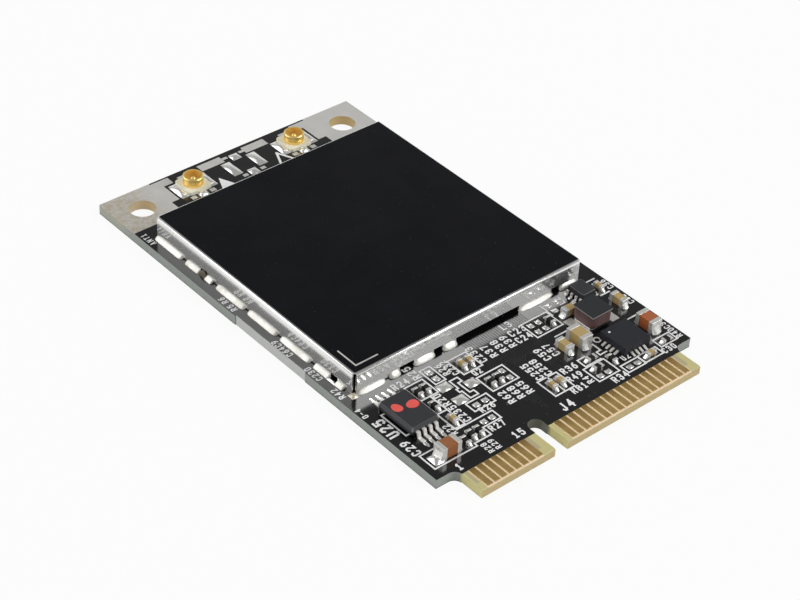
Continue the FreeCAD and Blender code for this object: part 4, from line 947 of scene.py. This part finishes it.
solder_ramps("component_solder", "component_fillets", "pillow", bulge=0.85, blunt=8, stretch=1.0, climb=1.0,
             columns=6, rows=10)
solder_ramps("shield_solder", "can_solder_bars", "solder", bulge=1.2, blunt=12, stretch=1.06, climb=1.4,
             columns=8, rows=30)
solder_domes()
solder_pools()
white_print()
masked_copper()
spurs()
inspection_paint()
first_pad_dot()
burnt_flux()
corner_solder()


# Floor, light and camera
def floor_material():
    """Pale floor that looks almost white to the camera and in reflections, and keeps the card's shadow."""
    material = bpy.data.materials.new("floor")
    material.use_nodes = True
    tree = material.node_tree
    shader = tree.nodes["Principled BSDF"]
    shader.inputs["Base Color"].default_value = FLOOR_COLOUR
    shader.inputs["Roughness"].default_value = FLOOR_ROUGHNESS
    shader.inputs["Specular IOR Level"].default_value = 0.0
    paths = tree.nodes.new("ShaderNodeLightPath")
    seen = tree.nodes.new("ShaderNodeMath")
    seen.operation = "MAXIMUM"
    tree.links.new(paths.outputs["Is Camera Ray"], seen.inputs[0])
    tree.links.new(paths.outputs["Is Glossy Ray"], seen.inputs[1])
    share = tree.nodes.new("ShaderNodeMath")
    share.operation = "MULTIPLY"
    share.inputs[1].default_value = FLOOR_WHITE
    tree.links.new(seen.outputs[0], share.inputs[0])
    white = tree.nodes.new("ShaderNodeEmission")
    mix = tree.nodes.new("ShaderNodeMixShader")
    tree.links.new(share.outputs[0], mix.inputs[0])
    tree.links.new(shader.outputs[0], mix.inputs[1])
    tree.links.new(white.outputs[0], mix.inputs[2])
    tree.links.new(mix.outputs[0], tree.nodes["Material Output"].inputs["Surface"])
    return material


def stage():
    floor = bpy.data.meshes.new("floor")
    signs = [(-1, -1), (1, -1), (1, 1), (-1, 1)]
    corners = [(x * FLOOR_REACH, y * FLOOR_REACH, -FLOOR_DROP) for x, y in signs]
    floor.from_pydata(corners, [], [(0, 1, 2, 3)])
    thing = bpy.data.objects.new("floor", floor)
    bpy.context.scene.collection.objects.link(thing)
    floor.materials.append(floor_material())


def sky():
    world = bpy.data.worlds.new("studio")
    bpy.context.scene.world = world
    world.use_nodes = True
    tree = world.node_tree
    background = tree.nodes["Background"]
    place = tree.nodes.new("ShaderNodeTexCoord")
    split = tree.nodes.new("ShaderNodeSeparateXYZ")
    tree.links.new(place.outputs["Generated"], split.inputs[0])
    fall = tree.nodes.new("ShaderNodeMapRange")
    low, high = SKY_FALL
    for name, value in (("From Min", low), ("From Max", high), ("To Min", SKY_HORIZON), ("To Max", SKY_TOP)):
        fall.inputs[name].default_value = value
    tree.links.new(split.outputs["Z"], fall.inputs["Value"])
    tree.links.new(fall.outputs["Result"], background.inputs["Color"])
    background.inputs["Strength"].default_value = 1.0


def softbox(name, place, size, power):
    light = bpy.data.lights.new(name, "AREA")
    light.size = size
    light.energy = power
    thing = bpy.data.objects.new(name, light)
    thing.location = place
    thing.rotation_mode = "QUATERNION"
    thing.rotation_quaternion = (-Vector(place)).to_track_quat("-Z", "Y")
    bpy.context.scene.collection.objects.link(thing)


def photo_camera():
    turn, rise = math.radians(CAMERA_AZIMUTH), math.radians(CAMERA_ELEVATION)
    ahead = Vector((-math.sin(turn) * math.cos(rise), math.cos(turn) * math.cos(rise), -math.sin(rise)))
    level = ahead.cross(Vector((0, 0, 1))).normalized()
    up = level.cross(ahead)
    roll = math.radians(CAMERA_ROLL)
    right = level * math.cos(roll) + up * math.sin(roll)
    up = right.cross(ahead)
    data = bpy.data.cameras.new("camera")
    data.sensor_width = SENSOR_WIDTH
    data.lens = CAMERA_FOCUS * SENSOR_WIDTH / PHOTO_WIDTH
    data.clip_start, data.clip_end = NEAREST, FARTHEST
    thing = bpy.data.objects.new("camera", data)
    axes = Matrix((right, up, -ahead)).transposed().to_4x4()
    thing.matrix_world = Matrix.Translation(Vector(CAMERA_PLACE) * MM) @ axes
    bpy.context.scene.collection.objects.link(thing)
    bpy.context.scene.camera = thing


stage()
sky()
for lamp_name, lamp_place, lamp_size, lamp_power in SOFTBOXES:
    softbox(lamp_name, lamp_place, lamp_size, lamp_power)
photo_camera()
bpy.context.scene.view_settings.view_transform = "Standard"
